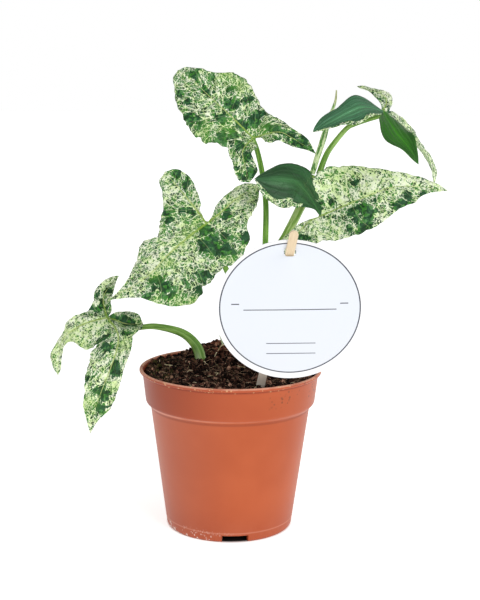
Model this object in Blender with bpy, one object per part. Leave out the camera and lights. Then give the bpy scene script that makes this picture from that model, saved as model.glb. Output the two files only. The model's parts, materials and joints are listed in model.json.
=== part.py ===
"""Arrowhead plant with mottled leaves in a plastic nursery pot, with a round card on a wooden stick.

The row frame has its origin at the centre of the pot's base, +X to the right and +Y to the back
as the plant is seen from its front, and +Z up.
"""

import math

import bmesh
import bpy
import numpy as np
from mathutils import Matrix, Vector, noise

MM = 0.001
GAP = 0.3 * MM  # between touching pieces

# The pot
RIM_RADIUS = 60 * MM
POT_HEIGHT = 106 * MM
FOOT_RADIUS = 40.6 * MM
WALL = 1.2 * MM
WALL_HEIGHTS = (0, 1.2 * MM, 7 * MM, 81.2 * MM, 84.3 * MM, 103.3 * MM)  # foot, body, step, collar
FLOOR_UNDER = 4.0 * MM  # the floor is raised this far above the ground
FLOOR_TOP = 5.6 * MM
POT_SEGMENTS = 48
NOTCH_COUNT = 3
NOTCH_TURN = math.radians(6)  # of the front notch, to the right
NOTCH_WIDTH = 17 * MM
NOTCH_TOP = 4.4 * MM
DRAIN_COUNT = 6
DRAIN_RADIUS = 4 * MM
DRAIN_CIRCLE = 25 * MM

# The soil
SOIL_FRONT = 99.5 * MM
SOIL_RISE = 4.5 * MM  # from the front to the back
SOIL_LEFT = 4.2 * MM  # more towards the left wall, up to SOIL_TOP
SOIL_TOP = 104.8 * MM
SOIL_LUMP = 2.2 * MM
MOUND = ((-9 * MM, 36 * MM), 11 * MM, 14 * MM)  # centre, height and radius of the heap at the back
SOIL_RINGS = 9

# The leaves
BLADE_THICKNESS = 0.8 * MM
BLADE_WAVE = 1.6 * MM
LEAF_COLOUR = (0.42, 0.56, 0.33)
RIB_STEPS = 11
CROSS_STEPS = 4
TUBE_SIDES = 10
STALK_APPROACH = 3.5 * MM  # the last stretch of a stalk, square to the blade
STALK_END = BLADE_THICKNESS / 2 + 0.65 * MM  # from the middle of the blade

# The card and its stick
CARD_RADIUS = 45.5 * MM
CARD_THICKNESS = 0.7 * MM
CARD_LEAN = math.radians(13)  # its top leans to the front
CARD_TURN = math.radians(-1.4)  # in its own plane
SLOT_CENTRE = (35.0 * MM, -72 * MM, 192.8 * MM)
SLOT_SIZE = (6.4 * MM, 4.0 * MM)
SLOT_BELOW_TOP = 8 * MM
SLOT_PUSH = 1.5 * MM  # how far the stick pushes the card's edge aside at the slot
STICK_LEAN = math.radians(23)
STICK_SIDE_LEAN = math.radians(9)
STICK_SIZE = (5.4 * MM, 1.2 * MM)
STICK_ABOVE_SLOT = 15 * MM
STICK_BELOW_SLOT = 136 * MM

# Stems: the points of the centre line in mm, from the soil or the stem up, and the radius at each end in mm.
STEMS = {
    "main_stem": {
        "path": [(13, 25, 84), (15, 24, 106), (19, 20, 146), (27, 18, 173), (36, 18, 191.5), (43.5, 18, 207),
                 (54, 18, 231)],
        "radius": (3.6, 2.9),
    },
    "petiole_top_left": {
        "path": [(21, 8, 84), (22, 8, 110), (22, 7, 150), (22, 8, 187), (22, 12, 212), (19.5, 15, 232),
                 (16, 11, 247)],
        "radius": (2.7, 1.7),
    },
    "petiole_middle_left": {
        "path": [(16, 15, 84), (17, 15, 108), (9, 14, 140), (-3, 11, 168), (-11, 6, 186), (-15, 1, 197)],
        "radius": (2.7, 1.7),
    },
    "petiole_low_left": {
        "path": [(-16, 25, 86), (-20, 25, 104.5), (-24, 26, 115), (-34, 28, 123), (-52, 28, 127), (-66, 23, 126.5),
                 (-76, 15, 129)],
        "radius": (5.0, 1.1),
    },
    "petiole_right": {
        "path": [(32, 18, 180), (40, 17, 184), (47, 15, 190), (54, 11, 199)],
        "radius": (2.4, 1.7),
    },
    "petiole_top_right": {
        "path": [(56.7, 18, 232), (60.4, 18, 242.7), (64.3, 17.5, 250), (73.5, 16, 261.7), (79, 15, 265),
                 (87, 12.5, 268)],
        "radius": (2.0, 1.5),
    },
    "young_shoot": {
        "path": [(-4, 34, 92), (-5, 33, 109), (-6, 33, 115), (-7.8, 33, 120.5)],
        "radius": (2.0, 0.5),
    },
}
STEM_COLOUR = (0.36, 0.52, 0.12)
PALE_STEM_COLOUR = (0.52, 0.64, 0.28)
IN_SOIL = ("main_stem", "petiole_top_left", "petiole_middle_left", "petiole_low_left", "young_shoot")

# The rolled new leaf: its centre line in mm and its radius at the base, at the middle and at the tip.
NEW_LEAF_PATH = [(52.2, 18, 232.3), (55.2, 18, 243), (58.3, 18, 253), (62.4, 17, 268), (66, 16, 279),
                 (66.7, 16, 286.6)]
NEW_LEAF_RADII = (1.8, 2.1, 0.4)

# Leaves. "base" is where the blade meets its stalk, in mm, and "facing" is the direction of its upper face there.
# Lobes go round from the right-hand basal one to the left-hand one, seen from above with the tip ahead. Each has
# the points in mm that its rib runs through after the base, the direction of its upper face at the tip, its fold
# along the rib in degrees, and the points of its margin on both sides, as shares of the rib's length and mm from
# the rib. Between two lobes is a notch: its distance from the base in mm, and how far it is turned from
# the first lobe to the next.
LEAVES = {
    "leaf_top_left": {
        "petiole": "petiole_top_left",
        "base": (13, 4, 256),
        "facing": (-0.10, -0.80, 0.55),
        "notches": [(20, 0.47), (17, 0.65)],
        "lobes": [
            {"rib": [(28, -2, 260), (37, -4, 257), (53, -5, 247)], "facing": (0.2, -0.8, 0.55), "fold": 18,
             "left": [(0.33, 12.5), (0.5, 7), (0.8, 4.5)],
             "right": [(0.12, 1.5), (0.23, 8), (0.35, 10.5), (0.5, 6.2), (0.7, 5.6), (0.86, 3)]},
            {"rib": [(-2, 10, 270), (-17, 21, 283), (-27, 29, 292), (-37, 38, 298)], "facing": (-0.5, -0.55, 0.6),
             "fold": 4, "left": [(0.2, 18.5), (0.4, 22), (0.56, 21.3), (0.76, 17.2), (0.89, 12), (0.98, 6)],
             "right": [(0.3, 23), (0.45, 25.8), (0.6, 24.8), (0.7, 14), (0.83, 8.5), (0.95, 5)]},
            {"rib": [(7, -4, 249), (7, -9, 243), (11, -16, 229)], "facing": (-0.2, -0.9, 0.3), "fold": 14,
             "left": [(0.09, 3.3), (0.25, 8.7), (0.5, 6), (0.84, 7.5)],
             "right": [(0.4, 9.8), (0.6, 7.2), (0.75, 7.2), (0.92, 6)]},
        ],
    },
    "leaf_middle_left": {
        "petiole": "petiole_middle_left",
        "base": (-16, -8, 202),
        "facing": (-0.15, -0.85, 0.50),
        "notches": [(32, 0.72), (26, 0.70)],
        "lobes": [
            {"rib": [(-21, -5, 208), (-27, -2, 215), (-44, 13, 233)], "facing": (-0.5, -0.8, 0.4), "fold": 8,
             "left": [(0.37, 25), (0.6, 16), (0.75, 10.5), (0.93, 7)],
             "right": [(0.2, 1.5), (0.28, 5.5), (0.5, 9.2), (0.7, 10.2), (0.88, 8)]},
            {"rib": [(-27, -13, 194), (-40, -19, 183), (-54, -26, 169), (-77, -35, 156)],
             "facing": (-0.2, -0.85, 0.5), "fold": 6,
             "left": [(-0.12, 28.5), (-0.02, 33.2), (0.19, 30.5), (0.33, 33), (0.43, 34), (0.54, 36.5), (0.63, 31),
                      (0.70, 21), (0.77, 11), (0.87, 5)],
             "right": [(0.40, 14.5), (0.45, 19.5), (0.56, 15.5), (0.67, 11.5), (0.78, 5.5), (0.9, 1.5)]},
            {"rib": [(-7, -8, 209), (2, -5, 217), (17, 5, 226)], "facing": (0.1, -0.8, 0.5), "fold": 8,
             "left": [(0.15, 2.3), (0.27, 5.3), (0.47, 6.3), (0.7, 7), (0.86, 5)],
             "right": [(0.42, 18), (0.66, 13.5), (0.82, 9), (0.94, 4)]},
        ],
    },
    "leaf_low_left": {
        "petiole": "petiole_low_left",
        "base": (-82, 6, 137),
        "facing": (-0.20, -0.80, 0.56),
        "notches": [(13.4, 0.60), (22, 0.75), (22, 0.4)],
        "lobes": [
            {"rib": [(-85, 14, 146), (-84, 18, 152), (-76, 26, 162)], "facing": (0.1, -0.9, 0.3), "fold": 30,
             "left": [(0.28, 9.5), (0.37, 7.3), (0.47, 6.9), (0.58, 6.9), (0.76, 5.3), (0.91, 2.9)],
             "right": [(0.11, 4.5), (0.38, 7.5), (0.6, 5.5), (0.85, 2)]},
            {"rib": [(-97, 3, 133), (-111, 0, 122), (-113.5, -3, 100)], "facing": (-0.7, -0.6, 0.2), "fold": 8,
             "left": [(0.17, 23), (0.35, 21), (0.46, 13), (0.53, 7.4), (0.63, 5.6), (0.75, 2.8), (0.93, 2.5)],
             "right": [(0.22, 8), (0.33, 9), (0.44, 8.8), (0.52, 5.2), (0.68, 4.5), (0.82, 6.5), (0.93, 4.5)]},
            {"rib": [(-75, -3, 131), (-73, -9, 124), (-76, -17, 112), (-86, -24, 85), (-90, -26, 67)],
             "facing": (-0.1, -0.95, 0.1), "fold": 14,
             "left": [(0.33, 7.6), (0.45, 7), (0.6, 7.8), (0.78, 8), (0.89, 3.5)],
             "right": [(0.35, 20), (0.49, 17.5), (0.6, 16), (0.7, 12), (0.8, 9.8), (0.88, 5)]},
            {"rib": [(-76, 7, 135), (-69, 8, 132.5), (-58.5, 13, 131.5)], "facing": (0.2, -0.7, 0.6), "fold": 25,
             "left": [(0.2, 5.8), (0.48, 9.3), (0.85, 7.5)], "right": [(0.84, 6.3), (0.94, 2.9)]},
        ],
    },
    "leaf_right": {
        "petiole": "petiole_right",
        "base": (58, 6, 206),
        "facing": (0.05, -0.80, 0.60),
        "notches": [(26, 0.20), (9, 0.6)],
        "lobes": [
            {"rib": [(50, 0, 203), (42, -8, 196), (26, -28, 182)], "facing": (0.0, -0.85, 0.5), "fold": 8,
             "left": [(0.45, 13), (0.7, 9)], "right": [(0.1, 0.5), (0.22, 1.1), (0.35, 3.2), (0.6, 5), (0.85, 4)]},
            {"rib": [(83, 0, 218), (100, -1, 225), (117, 2, 226), (140, 9, 223)], "facing": (0.1, -0.85, 0.5),
             "fold": 6,
             "left": [(0.04, 14), (0.11, 22.5), (0.2, 24), (0.3, 22.5), (0.4, 19.5), (0.5, 14), (0.6, 10),
                      (0.75, 8), (0.88, 5.5)],
             "right": [(0.08, 20), (0.28, 21.5), (0.41, 19.8), (0.6, 15.5), (0.7, 13), (0.76, 8), (0.88, 3)]},
            {"rib": [(52, -1, 216), (46, -7, 224), (38, -13, 230), (14, -23, 232)], "facing": (-0.1, -0.85, 0.5),
             "fold": -6, "left": [(0.13, 2.3), (0.27, 8), (0.45, 15), (0.67, 18), (0.83, 15.5), (0.95, 9)],
             "right": [(0.12, 4), (0.25, 8), (0.35, 10), (0.5, 11.5), (0.68, 12), (0.8, 9), (0.92, 4)]},
        ],
    },
    "leaf_top_right": {
        "petiole": "petiole_top_right",
        "base": (96, 6, 274),
        "facing": (0.35, -0.30, 0.88),
        "middle": 2,
        "notches": [(7, 0.6), (13, 0.6), (9, 0.4)],
        "lobes": [
            {"rib": [(86, 0, 276), (76, -6, 274), (50, -17, 261)], "facing": (-0.2, -0.7, 0.6), "fold": 12,
             "left": [(0.18, 9.8), (0.38, 13), (0.5, 13), (0.64, 9.5), (0.8, 6)],
             "right": [(0.07, 8), (0.2, 11), (0.35, 11), (0.54, 8.5), (0.63, 8.5), (0.8, 6.5), (0.93, 3)]},
            {"rib": [(103, -9, 261), (111, -18, 251), (116, -23, 242)], "facing": (0.1, -0.85, 0.3), "fold": 12,
             "left": [(0.32, 11.5), (0.6, 8.5), (0.77, 5), (0.88, 2.7)],
             "right": [(0.23, 10), (0.38, 11.3), (0.55, 11.5), (0.69, 7.7), (0.82, 4.8), (0.93, 2)]},
            {"rib": [(106, 16, 267), (124, 31, 249), (134.5, 39, 235), (136, 42, 224)],
             "facing": (0.88, -0.36, 0.3), "fold": 10,
             "left": [(0.2, 5.5), (0.45, 6.5), (0.65, 7), (0.8, 8), (0.93, 5)],
             "right": [(0.25, 14), (0.5, 13), (0.75, 9)]},
            {"rib": [(99, 14, 279), (97, 21, 284), (82, 38, 289)], "facing": (0.2, -0.8, 0.5), "fold": 12,
             "left": [(0.07, 2), (0.16, 5.3), (0.3, 7.5), (0.58, 5.5), (0.8, 2.5)],
             "right": [(0.35, 5.5), (0.6, 6), (0.8, 4)]},
        ],
    },
}


def clear_scene():
    for obj in list(bpy.data.objects):
        bpy.data.objects.remove(obj)


def link(name, mesh, colour, roughness):
    """A named object at the origin with its own plain material."""
    obj = bpy.data.objects.new(name, mesh)
    bpy.context.scene.collection.objects.link(obj)
    material = bpy.data.materials.new(name)
    material.use_nodes = True
    shader = material.node_tree.nodes["Principled BSDF"]
    shader.inputs["Base Color"].default_value = (*colour, 1)
    shader.inputs["Roughness"].default_value = roughness
    shader.inputs["Metallic"].default_value = 0
    material.diffuse_color = (*colour, 1)
    mesh.materials.append(material)
    return obj


def mesh_of(name, points, faces):
    mesh = bpy.data.meshes.new(name)
    mesh.from_pydata([tuple(p) for p in points], [], [tuple(f) for f in faces])
    mesh.update()
    return mesh


def smooth_path(points, count):
    """A curve through the points, as count points evenly spaced along it (Catmull-Rom)."""
    points = np.asarray(points, float)
    before = 2 * points[0] - points[1]
    after = 2 * points[-1] - points[-2]
    held = np.vstack([before, points, after])
    t = np.linspace(0, 1, 20, endpoint=False)[:, None]
    pieces = []
    for a, b, c, d in zip(held[:-3], held[1:-2], held[2:-1], held[3:]):
        bend, twist = 2 * a - 5 * b + 4 * c - d, 3 * b - a - 3 * c + d
        pieces.append(0.5 * (2 * b + (c - a) * t + bend * t**2 + twist * t**3))
    dense = np.vstack([*pieces, points[-1:]])
    run = np.concatenate([[0], np.cumsum(np.linalg.norm(np.diff(dense, axis=0), axis=1))])
    even = np.linspace(0, run[-1], count)
    return np.stack([np.interp(even, run, dense[:, k]) for k in range(3)], axis=1)


def unit(v):
    v = np.asarray(v, float)
    return v / np.linalg.norm(v, axis=-1, keepdims=True)


def tangents(path):
    return unit(np.gradient(path, axis=0))


def tube(name, path, radii, sides=TUBE_SIDES):
    """A closed tube along the path with a radius at each point."""
    along = tangents(path)
    side = unit(np.cross(along, (0.0, 1.0, 0.0)))
    up = np.cross(side, along)
    turn = np.linspace(0, 2 * math.pi, sides, endpoint=False)
    ring = np.cos(turn)[None, :, None] * side[:, None] + np.sin(turn)[None, :, None] * up[:, None]
    points = (path[:, None] + ring * np.asarray(radii)[:, None, None]).reshape(-1, 3)
    faces = [tuple(range(sides))[::-1], tuple(range(len(points) - sides, len(points)))]
    for i in range(len(path) - 1):
        for k in range(sides):
            a, b = i * sides + k, i * sides + (k + 1) % sides
            faces.append((a, b, b + sides, a + sides))
    mesh = mesh_of(name, points, faces)
    fix = bmesh.new()
    fix.from_mesh(mesh)
    bmesh.ops.recalc_face_normals(fix, faces=fix.faces)
    fix.to_mesh(mesh)
    fix.free()
    return mesh


def cut(obj, cutter_mesh, name):
    """Takes the cutter out of the object with a Boolean modifier."""
    cutter = bpy.data.objects.new(name, cutter_mesh)
    bpy.context.scene.collection.objects.link(cutter)
    cutter.hide_render = True
    cutter.display_type = "WIRE"
    modifier = obj.modifiers.new(name, "BOOLEAN")
    modifier.operation = "DIFFERENCE"
    modifier.solver = "EXACT"
    modifier.object = cutter
    return cutter


def box_mesh(name, size, matrix):
    shape = bmesh.new()
    bmesh.ops.create_cube(shape, size=1, matrix=matrix @ Matrix.Diagonal((*size, 1)))
    mesh = bpy.data.meshes.new(name)
    shape.to_mesh(mesh)
    shape.free()
    return mesh


def spun(name, profile, segments):
    """The closed body that the profile of (radius, height) points makes when it is turned about Z.
    The profile starts and ends on the axis."""
    points, faces, rings = [], [], []
    for radius, height in profile:
        if radius < 1e-9:
            rings.append([len(points)] * segments)
            points.append((0, 0, height))
        else:
            rings.append(list(range(len(points), len(points) + segments)))
            turn = np.linspace(0, 2 * math.pi, segments, endpoint=False)
            points += [(radius * math.cos(a), radius * math.sin(a), height) for a in turn]
    for low, high in zip(rings, rings[1:]):
        for k in range(segments):
            n = (k + 1) % segments
            corners = (low[k], low[n], high[n], high[k])
            faces.append(tuple(dict.fromkeys(corners)))
    mesh = mesh_of(name, points, faces)
    fix = bmesh.new()
    fix.from_mesh(mesh)
    bmesh.ops.recalc_face_normals(fix, faces=fix.faces)
    fix.to_mesh(mesh)
    fix.free()
    return mesh


def wall_radius(height):
    """The pot's outer radius at a height: the tapered body, the step and the collar above it."""
    radii = (FOOT_RADIUS, 41.7 * MM, 42.5 * MM, 52.5 * MM, 55.7 * MM, 57.9 * MM)
    return float(np.interp(height, WALL_HEIGHTS, radii))


def make_pot():
    foot_inside = FOOT_RADIUS - 2.2 * MM
    profile = [(0, 0), (7 * MM, 0), (7.6 * MM, FLOOR_UNDER), (foot_inside, FLOOR_UNDER), (foot_inside, 0)]
    profile += [(wall_radius(h), h) for h in WALL_HEIGHTS]
    # The rolled lip, and then the inside of the wall down to the floor.
    profile += [(59.3 * MM, 103.5 * MM), (RIM_RADIUS, 104.4 * MM), (59.8 * MM, 105.5 * MM)]
    profile += [(59.0 * MM, POT_HEIGHT), (57.9 * MM, 105.6 * MM)]
    profile += [(wall_radius(h) - WALL, h) for h in (103.3 * MM, 84.7 * MM, 81.6 * MM, 7 * MM)]
    profile += [(FOOT_RADIUS - 1.4 * MM, FLOOR_TOP), (0, FLOOR_TOP)]
    pot = link("pot", spun("pot", profile, POT_SEGMENTS), (0.62, 0.17, 0.07), 0.45)
    for k in range(NOTCH_COUNT):
        angle = -math.pi / 2 + NOTCH_TURN + 2 * math.pi * k / NOTCH_COUNT
        place = Matrix.Rotation(angle, 4, "Z") @ Matrix.Translation((FOOT_RADIUS, 0, NOTCH_TOP / 2 - 1 * MM))
        size = (12 * MM, NOTCH_WIDTH, NOTCH_TOP + 2 * MM)
        cut(pot, box_mesh(f"foot_notch_{k}", size, place), f"foot_notch_{k}")
    for k in range(DRAIN_COUNT):
        angle = -math.pi / 2 + 2 * math.pi * (k + 0.5) / DRAIN_COUNT
        shape = bmesh.new()
        place = Matrix.Rotation(angle, 4, "Z") @ Matrix.Translation((DRAIN_CIRCLE, 0, FLOOR_UNDER))
        bmesh.ops.create_cone(shape, cap_ends=True, segments=12, radius1=DRAIN_RADIUS, radius2=DRAIN_RADIUS,
                              depth=12 * MM, matrix=place)
        mesh = bpy.data.meshes.new(f"drain_{k}")
        shape.to_mesh(mesh)
        shape.free()
        cut(pot, mesh, f"drain_{k}")
    return pot


def soil_height(x, y):
    """The soil's top: it rises to the back and up the left wall, is heaped at the back, and is lumpy all over."""
    (mx, my), rise, reach = MOUND
    away = math.hypot(x - mx, y - my) / reach
    lumps = noise.noise(Vector((x, y, 0.37 * MM)) * 110) + 0.5 * noise.noise(Vector((x, y, 3 * MM)) * 260)
    out = math.hypot(x, y) / RIM_RADIUS
    edge = min(1.0, (1 - out) * RIM_RADIUS / (12 * MM))
    level = SOIL_FRONT + SOIL_RISE * (y / RIM_RADIUS + 1) / 2
    level += SOIL_LEFT * max(0.0, 0.2 - x / RIM_RADIUS) * out * out
    return min(level, SOIL_TOP) + rise * math.exp(-away * away) + SOIL_LUMP * lumps * edge


def make_soil():
    """A closed body: rings of the lumpy top, then down the inside of the wall, then the floor."""
    segments = POT_SEGMENTS
    wall = WALL + GAP
    turn = np.linspace(0, 2 * math.pi, segments, endpoint=False)
    points = [(0, 0, soil_height(0, 0))]
    rings = []
    top_radius = wall_radius(98 * MM) - wall
    for k in range(1, SOIL_RINGS + 1):
        radius = top_radius * (k / SOIL_RINGS)
        rings.append(range(len(points), len(points) + segments))
        for a in turn:
            x, y = radius * math.cos(a), radius * math.sin(a)
            points.append((x, y, soil_height(x, y)))
    levels = [(wall_radius(h) - wall, h) for h in (86 * MM, 81.2 * MM, 7.2 * MM)]
    for radius, height in [*levels, (FOOT_RADIUS - 1.8 * MM, FLOOR_TOP + GAP)]:
        rings.append(range(len(points), len(points) + segments))
        points += [(radius * math.cos(a), radius * math.sin(a), height) for a in turn]
    faces = [(0, rings[0][k], rings[0][(k + 1) % segments]) for k in range(segments)]
    for inner, outer in zip(rings, rings[1:]):
        for k in range(segments):
            n = (k + 1) % segments
            faces.append((inner[k], outer[k], outer[n]))
            faces.append((inner[k], outer[n], inner[n]))
    faces.append(tuple(rings[-1])[::-1])
    soil = link("soil", mesh_of("soil", points, faces), (0.035, 0.018, 0.010), 0.95)
    for name in IN_SOIL:
        path, radii = stem_line(name)
        cut(soil, tube(f"{name}_hole", extended(path), radii + GAP), f"{name}_hole")
    hole = (STICK_SIZE[0] + 2 * GAP, STICK_SIZE[1] + 2 * GAP, STICK_ABOVE_SLOT + STICK_BELOW_SLOT + 2 * GAP)
    cut(soil, box_mesh("stick_hole", hole, stick_place()), "stick_hole")
    return soil


def stem_line(name):
    """The centre line of a stem in metres, and the radius at each point: wide at the foot, even above.
    A leaf's stalk goes on to the underside of its blade, which it meets squarely."""
    stem = STEMS[name]
    held = np.array(stem["path"], float) * MM
    for leaf in LEAVES.values():
        if leaf["petiole"] == name:
            base, face = np.array(leaf["base"]) * MM, unit(leaf["facing"])
            ends = [base - face * reach for reach in (STALK_APPROACH, STALK_END)]
            held = np.vstack([held, *ends])
    path = smooth_path(held, 3 * len(held))
    share = np.linspace(0, 1, len(path))
    low, high = stem["radius"]
    return path, (high + (low - high) * (1 - share) ** 1.5) * MM


def extended(path):
    """The same line with its lower end pushed out by the gap, for a hole that clears the stem's end."""
    longer = path.copy()
    longer[0] -= unit(path[1] - path[0]) * GAP
    return longer


def make_stems():
    made = {}
    for name in STEMS:
        path, radii = stem_line(name)
        colour = PALE_STEM_COLOUR if name == "young_shoot" else STEM_COLOUR
        made[name] = link(name, tube(name, path, radii), colour, 0.5)
    path, radii = stem_line("main_stem")
    cut(made["petiole_right"], tube("petiole_right_saddle", path, radii + GAP), "petiole_right_saddle")
    return made


def make_new_leaf():
    path = smooth_path(np.array(NEW_LEAF_PATH) * MM, 12)
    share = np.linspace(0, 1, len(path))
    radii = np.interp(share, (0, 0.45, 0.72, 1), (*NEW_LEAF_RADII[:2], 1.2, NEW_LEAF_RADII[2])) * MM
    return link("new_leaf", tube("new_leaf", path, radii), PALE_STEM_COLOUR, 0.45)


def margin(points, notch, length, count):
    """One side of a lobe's outline in its own plane, as count points along and across the rib: a smooth curve
    from the notch through the given points to the tip."""
    held = [notch, *[(share * length, width * MM) for share, width in points], (length, 0)]
    flat = smooth_path([(along, across, 0) for along, across in held], count)
    return flat[:, :2]


class Lobe:
    """A lobe's rib in space, with the directions across it and out of its upper face."""

    def __init__(self, base, facing, spec):
        self.path = smooth_path(np.array([base, *spec["rib"]], float) * MM, 24)
        self.length = float(np.linalg.norm(np.diff(self.path, axis=0), axis=1).sum())
        self.run = np.linspace(0, self.length, len(self.path))
        self.along = tangents(self.path)
        share = (self.run / self.length)[:, None]
        face = unit(facing) * (1 - share) + unit(spec["facing"]) * share
        self.up = unit(face - (face * self.along).sum(1, keepdims=True) * self.along)
        self.left = np.cross(self.up, self.along)
        self.spec = spec

    def at(self, table, s):
        s = np.clip(s, 0, self.length)
        return np.stack([np.interp(s, self.run, table[:, k]) for k in range(3)], axis=-1)

    def place(self, s, d):
        """The point s along the rib and d to its left. The blade's two sides are folded up along the rib."""
        beyond = s - np.clip(s, 0, self.length)
        centre = self.at(self.path, s) + beyond[..., None] * self.at(self.along, s)
        grown = np.clip(s / (0.35 * self.length), 0, 1)
        fold = math.radians(self.spec["fold"]) * grown * grown * (3 - 2 * grown)
        width = max(across for _, across in self.spec["left"] + self.spec["right"]) * MM
        lift = np.abs(d) * np.sin(fold) - 0.10 * d * d / width
        sideways = (d * np.cos(fold))[..., None] * self.at(self.left, s)
        return centre + sideways + lift[..., None] * self.at(self.up, s)


def blade(name, leaf):
    """The leaf's blade as one sheet. Each lobe has a grid on both sides of its rib, whose cross lines run from
    the rib to the margin. Neighbouring lobes share the line from the petiole to the notch between them."""
    base = np.array(leaf["base"], float)
    lobes = [Lobe(base, leaf["facing"], spec) for spec in leaf["lobes"]]
    middle = leaf.get("middle", 1)
    ahead = lobes[middle].along[0]
    up = unit(np.array(leaf["facing"]) - np.dot(leaf["facing"], ahead) * ahead)
    left = np.cross(up, ahead)
    angles = np.unwrap([math.atan2(lobe.along[0] @ left, lobe.along[0] @ ahead) for lobe in lobes])
    if np.any(np.diff(angles) <= 0):
        raise ValueError(f"{name}: lobes must go round anticlockwise, {np.degrees(angles).round()}")
    flat, waves, faces = [(0.0, 0.0)], [0.0], []
    rib_rows, notch_rows = [], {}

    def new_point(r, angle, wave=0.0):
        flat.append((r, angle))
        waves.append(wave)
        return len(flat) - 1

    for lobe, angle in zip(lobes, angles):
        steps = lobe.length * np.linspace(0, 1, RIB_STEPS + 1)
        rib_rows.append([0, *[new_point(s, angle) for s in steps[1:]]])
    for i, (lobe, angle) in enumerate(zip(lobes, angles)):
        for side in (-1, 1):
            other = i + side
            gap = min(i, other) if 0 <= other < len(lobes) else None
            notch = (0, 0)
            if gap is not None:
                reach, turned = leaf["notches"][gap]
                turn = abs(angles[other] - angle) * (turned if side > 0 else 1 - turned)
                notch = (reach * math.cos(turn) * MM, reach * math.sin(turn) * MM)
            edge = margin(lobe.spec["left" if side > 0 else "right"], notch, lobe.length, RIB_STEPS + 1)
            grid = []
            for j in range(RIB_STEPS + 1):
                along, across = edge[j]
                start = lobe.length * j / RIB_STEPS
                row = [rib_rows[i][j]]
                for k in range(1, CROSS_STEPS + 1):
                    t = k / CROSS_STEPS
                    if j == RIB_STEPS or (j == 0 and gap is None):
                        row.append(rib_rows[i][j])
                        continue
                    if j == 0 and (gap, k) in notch_rows:
                        row.append(notch_rows[gap, k])
                        continue
                    s, d = start + (along - start) * t, across * t
                    u = j / RIB_STEPS
                    wave = t * t * math.sin(math.pi * u) * math.sin(9 * u + 2.1 * i + side)
                    row.append(new_point(math.hypot(s, d), angle + side * math.atan2(d, s), wave))
                    if j == 0:
                        notch_rows[gap, k] = row[-1]
                grid.append(row)
            for j in range(RIB_STEPS):
                for k in range(CROSS_STEPS):
                    a, b, c, d = grid[j][k], grid[j + 1][k], grid[j + 1][k + 1], grid[j][k + 1]
                    for face in ((a, b, c), (a, c, d)):
                        if len(set(face)) == 3:
                            faces.append(face if side > 0 else face[::-1])
    points = placed(lobes, angles, np.array(flat))
    sheet = mesh_of(name, points, faces)
    normals = np.empty(len(points) * 3)
    sheet.vertices.foreach_get("normal", normals)
    points = points + normals.reshape(-1, 3) * (np.array(waves) * BLADE_WAVE)[:, None]
    return mesh_of(name, points, faces)


def placed(lobes, angles, flat):
    """Points of the flat leaf, as distance and angle from the petiole, put in space. Each follows the rib of its
    own lobe, and between two lobes it turns smoothly from one to the other."""
    r, angle = flat[:, 0], flat[:, 1]
    total = np.zeros((len(flat), 3))
    for i, lobe in enumerate(lobes):
        weight = np.ones(len(flat))
        for other in (i - 1, i + 1):
            if 0 <= other < len(lobes):
                share = np.clip((angle - angles[i]) / (angles[other] - angles[i]), 0, 1)
                weight = weight * (1 - share * share * (3 - 2 * share))
        spot = lobe.place(r * np.cos(angle - angles[i]), r * np.sin(angle - angles[i]))
        total += weight[:, None] * spot
    return total


def make_leaves():
    for name, leaf in LEAVES.items():
        obj = link(name, blade(name, leaf), LEAF_COLOUR, 0.4)
        thick = obj.modifiers.new("thickness", "SOLIDIFY")
        thick.thickness = BLADE_THICKNESS
        thick.offset = 0
        thick.use_even_offset = False


def stick_place():
    """The stick's place: its length is its own Z, and its origin is its middle."""
    middle = (STICK_ABOVE_SLOT - STICK_BELOW_SLOT) / 2
    turn = Matrix.Rotation(STICK_LEAN, 4, "X") @ Matrix.Rotation(STICK_SIDE_LEAN, 4, "Y")
    return Matrix.Translation(SLOT_CENTRE) @ turn @ Matrix.Translation((0, 0, middle))


def make_stick():
    width, thickness = STICK_SIZE
    length = STICK_ABOVE_SLOT + STICK_BELOW_SLOT
    shape = bmesh.new()
    turn = np.linspace(0, math.pi, 9)
    half = width / 2
    outline = [(half * math.cos(a), length / 2 - half + half * math.sin(a)) for a in turn]
    outline += [(half * math.cos(a), -length / 2 + half + half * math.sin(a)) for a in turn + math.pi]
    corners = [shape.verts.new((x, -thickness / 2, z)) for x, z in outline]
    face = shape.faces.new(corners)
    made = bmesh.ops.extrude_face_region(shape, geom=[face])
    moved = [v for v in made["geom"] if isinstance(v, bmesh.types.BMVert)]
    bmesh.ops.translate(shape, verts=moved, vec=(0, thickness, 0))
    bmesh.ops.transform(shape, matrix=stick_place(), verts=shape.verts)
    bmesh.ops.recalc_face_normals(shape, faces=shape.faces)
    mesh = bpy.data.meshes.new("label_stick")
    shape.to_mesh(mesh)
    shape.free()
    return link("label_stick", mesh, (0.72, 0.55, 0.38), 0.7)


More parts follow.
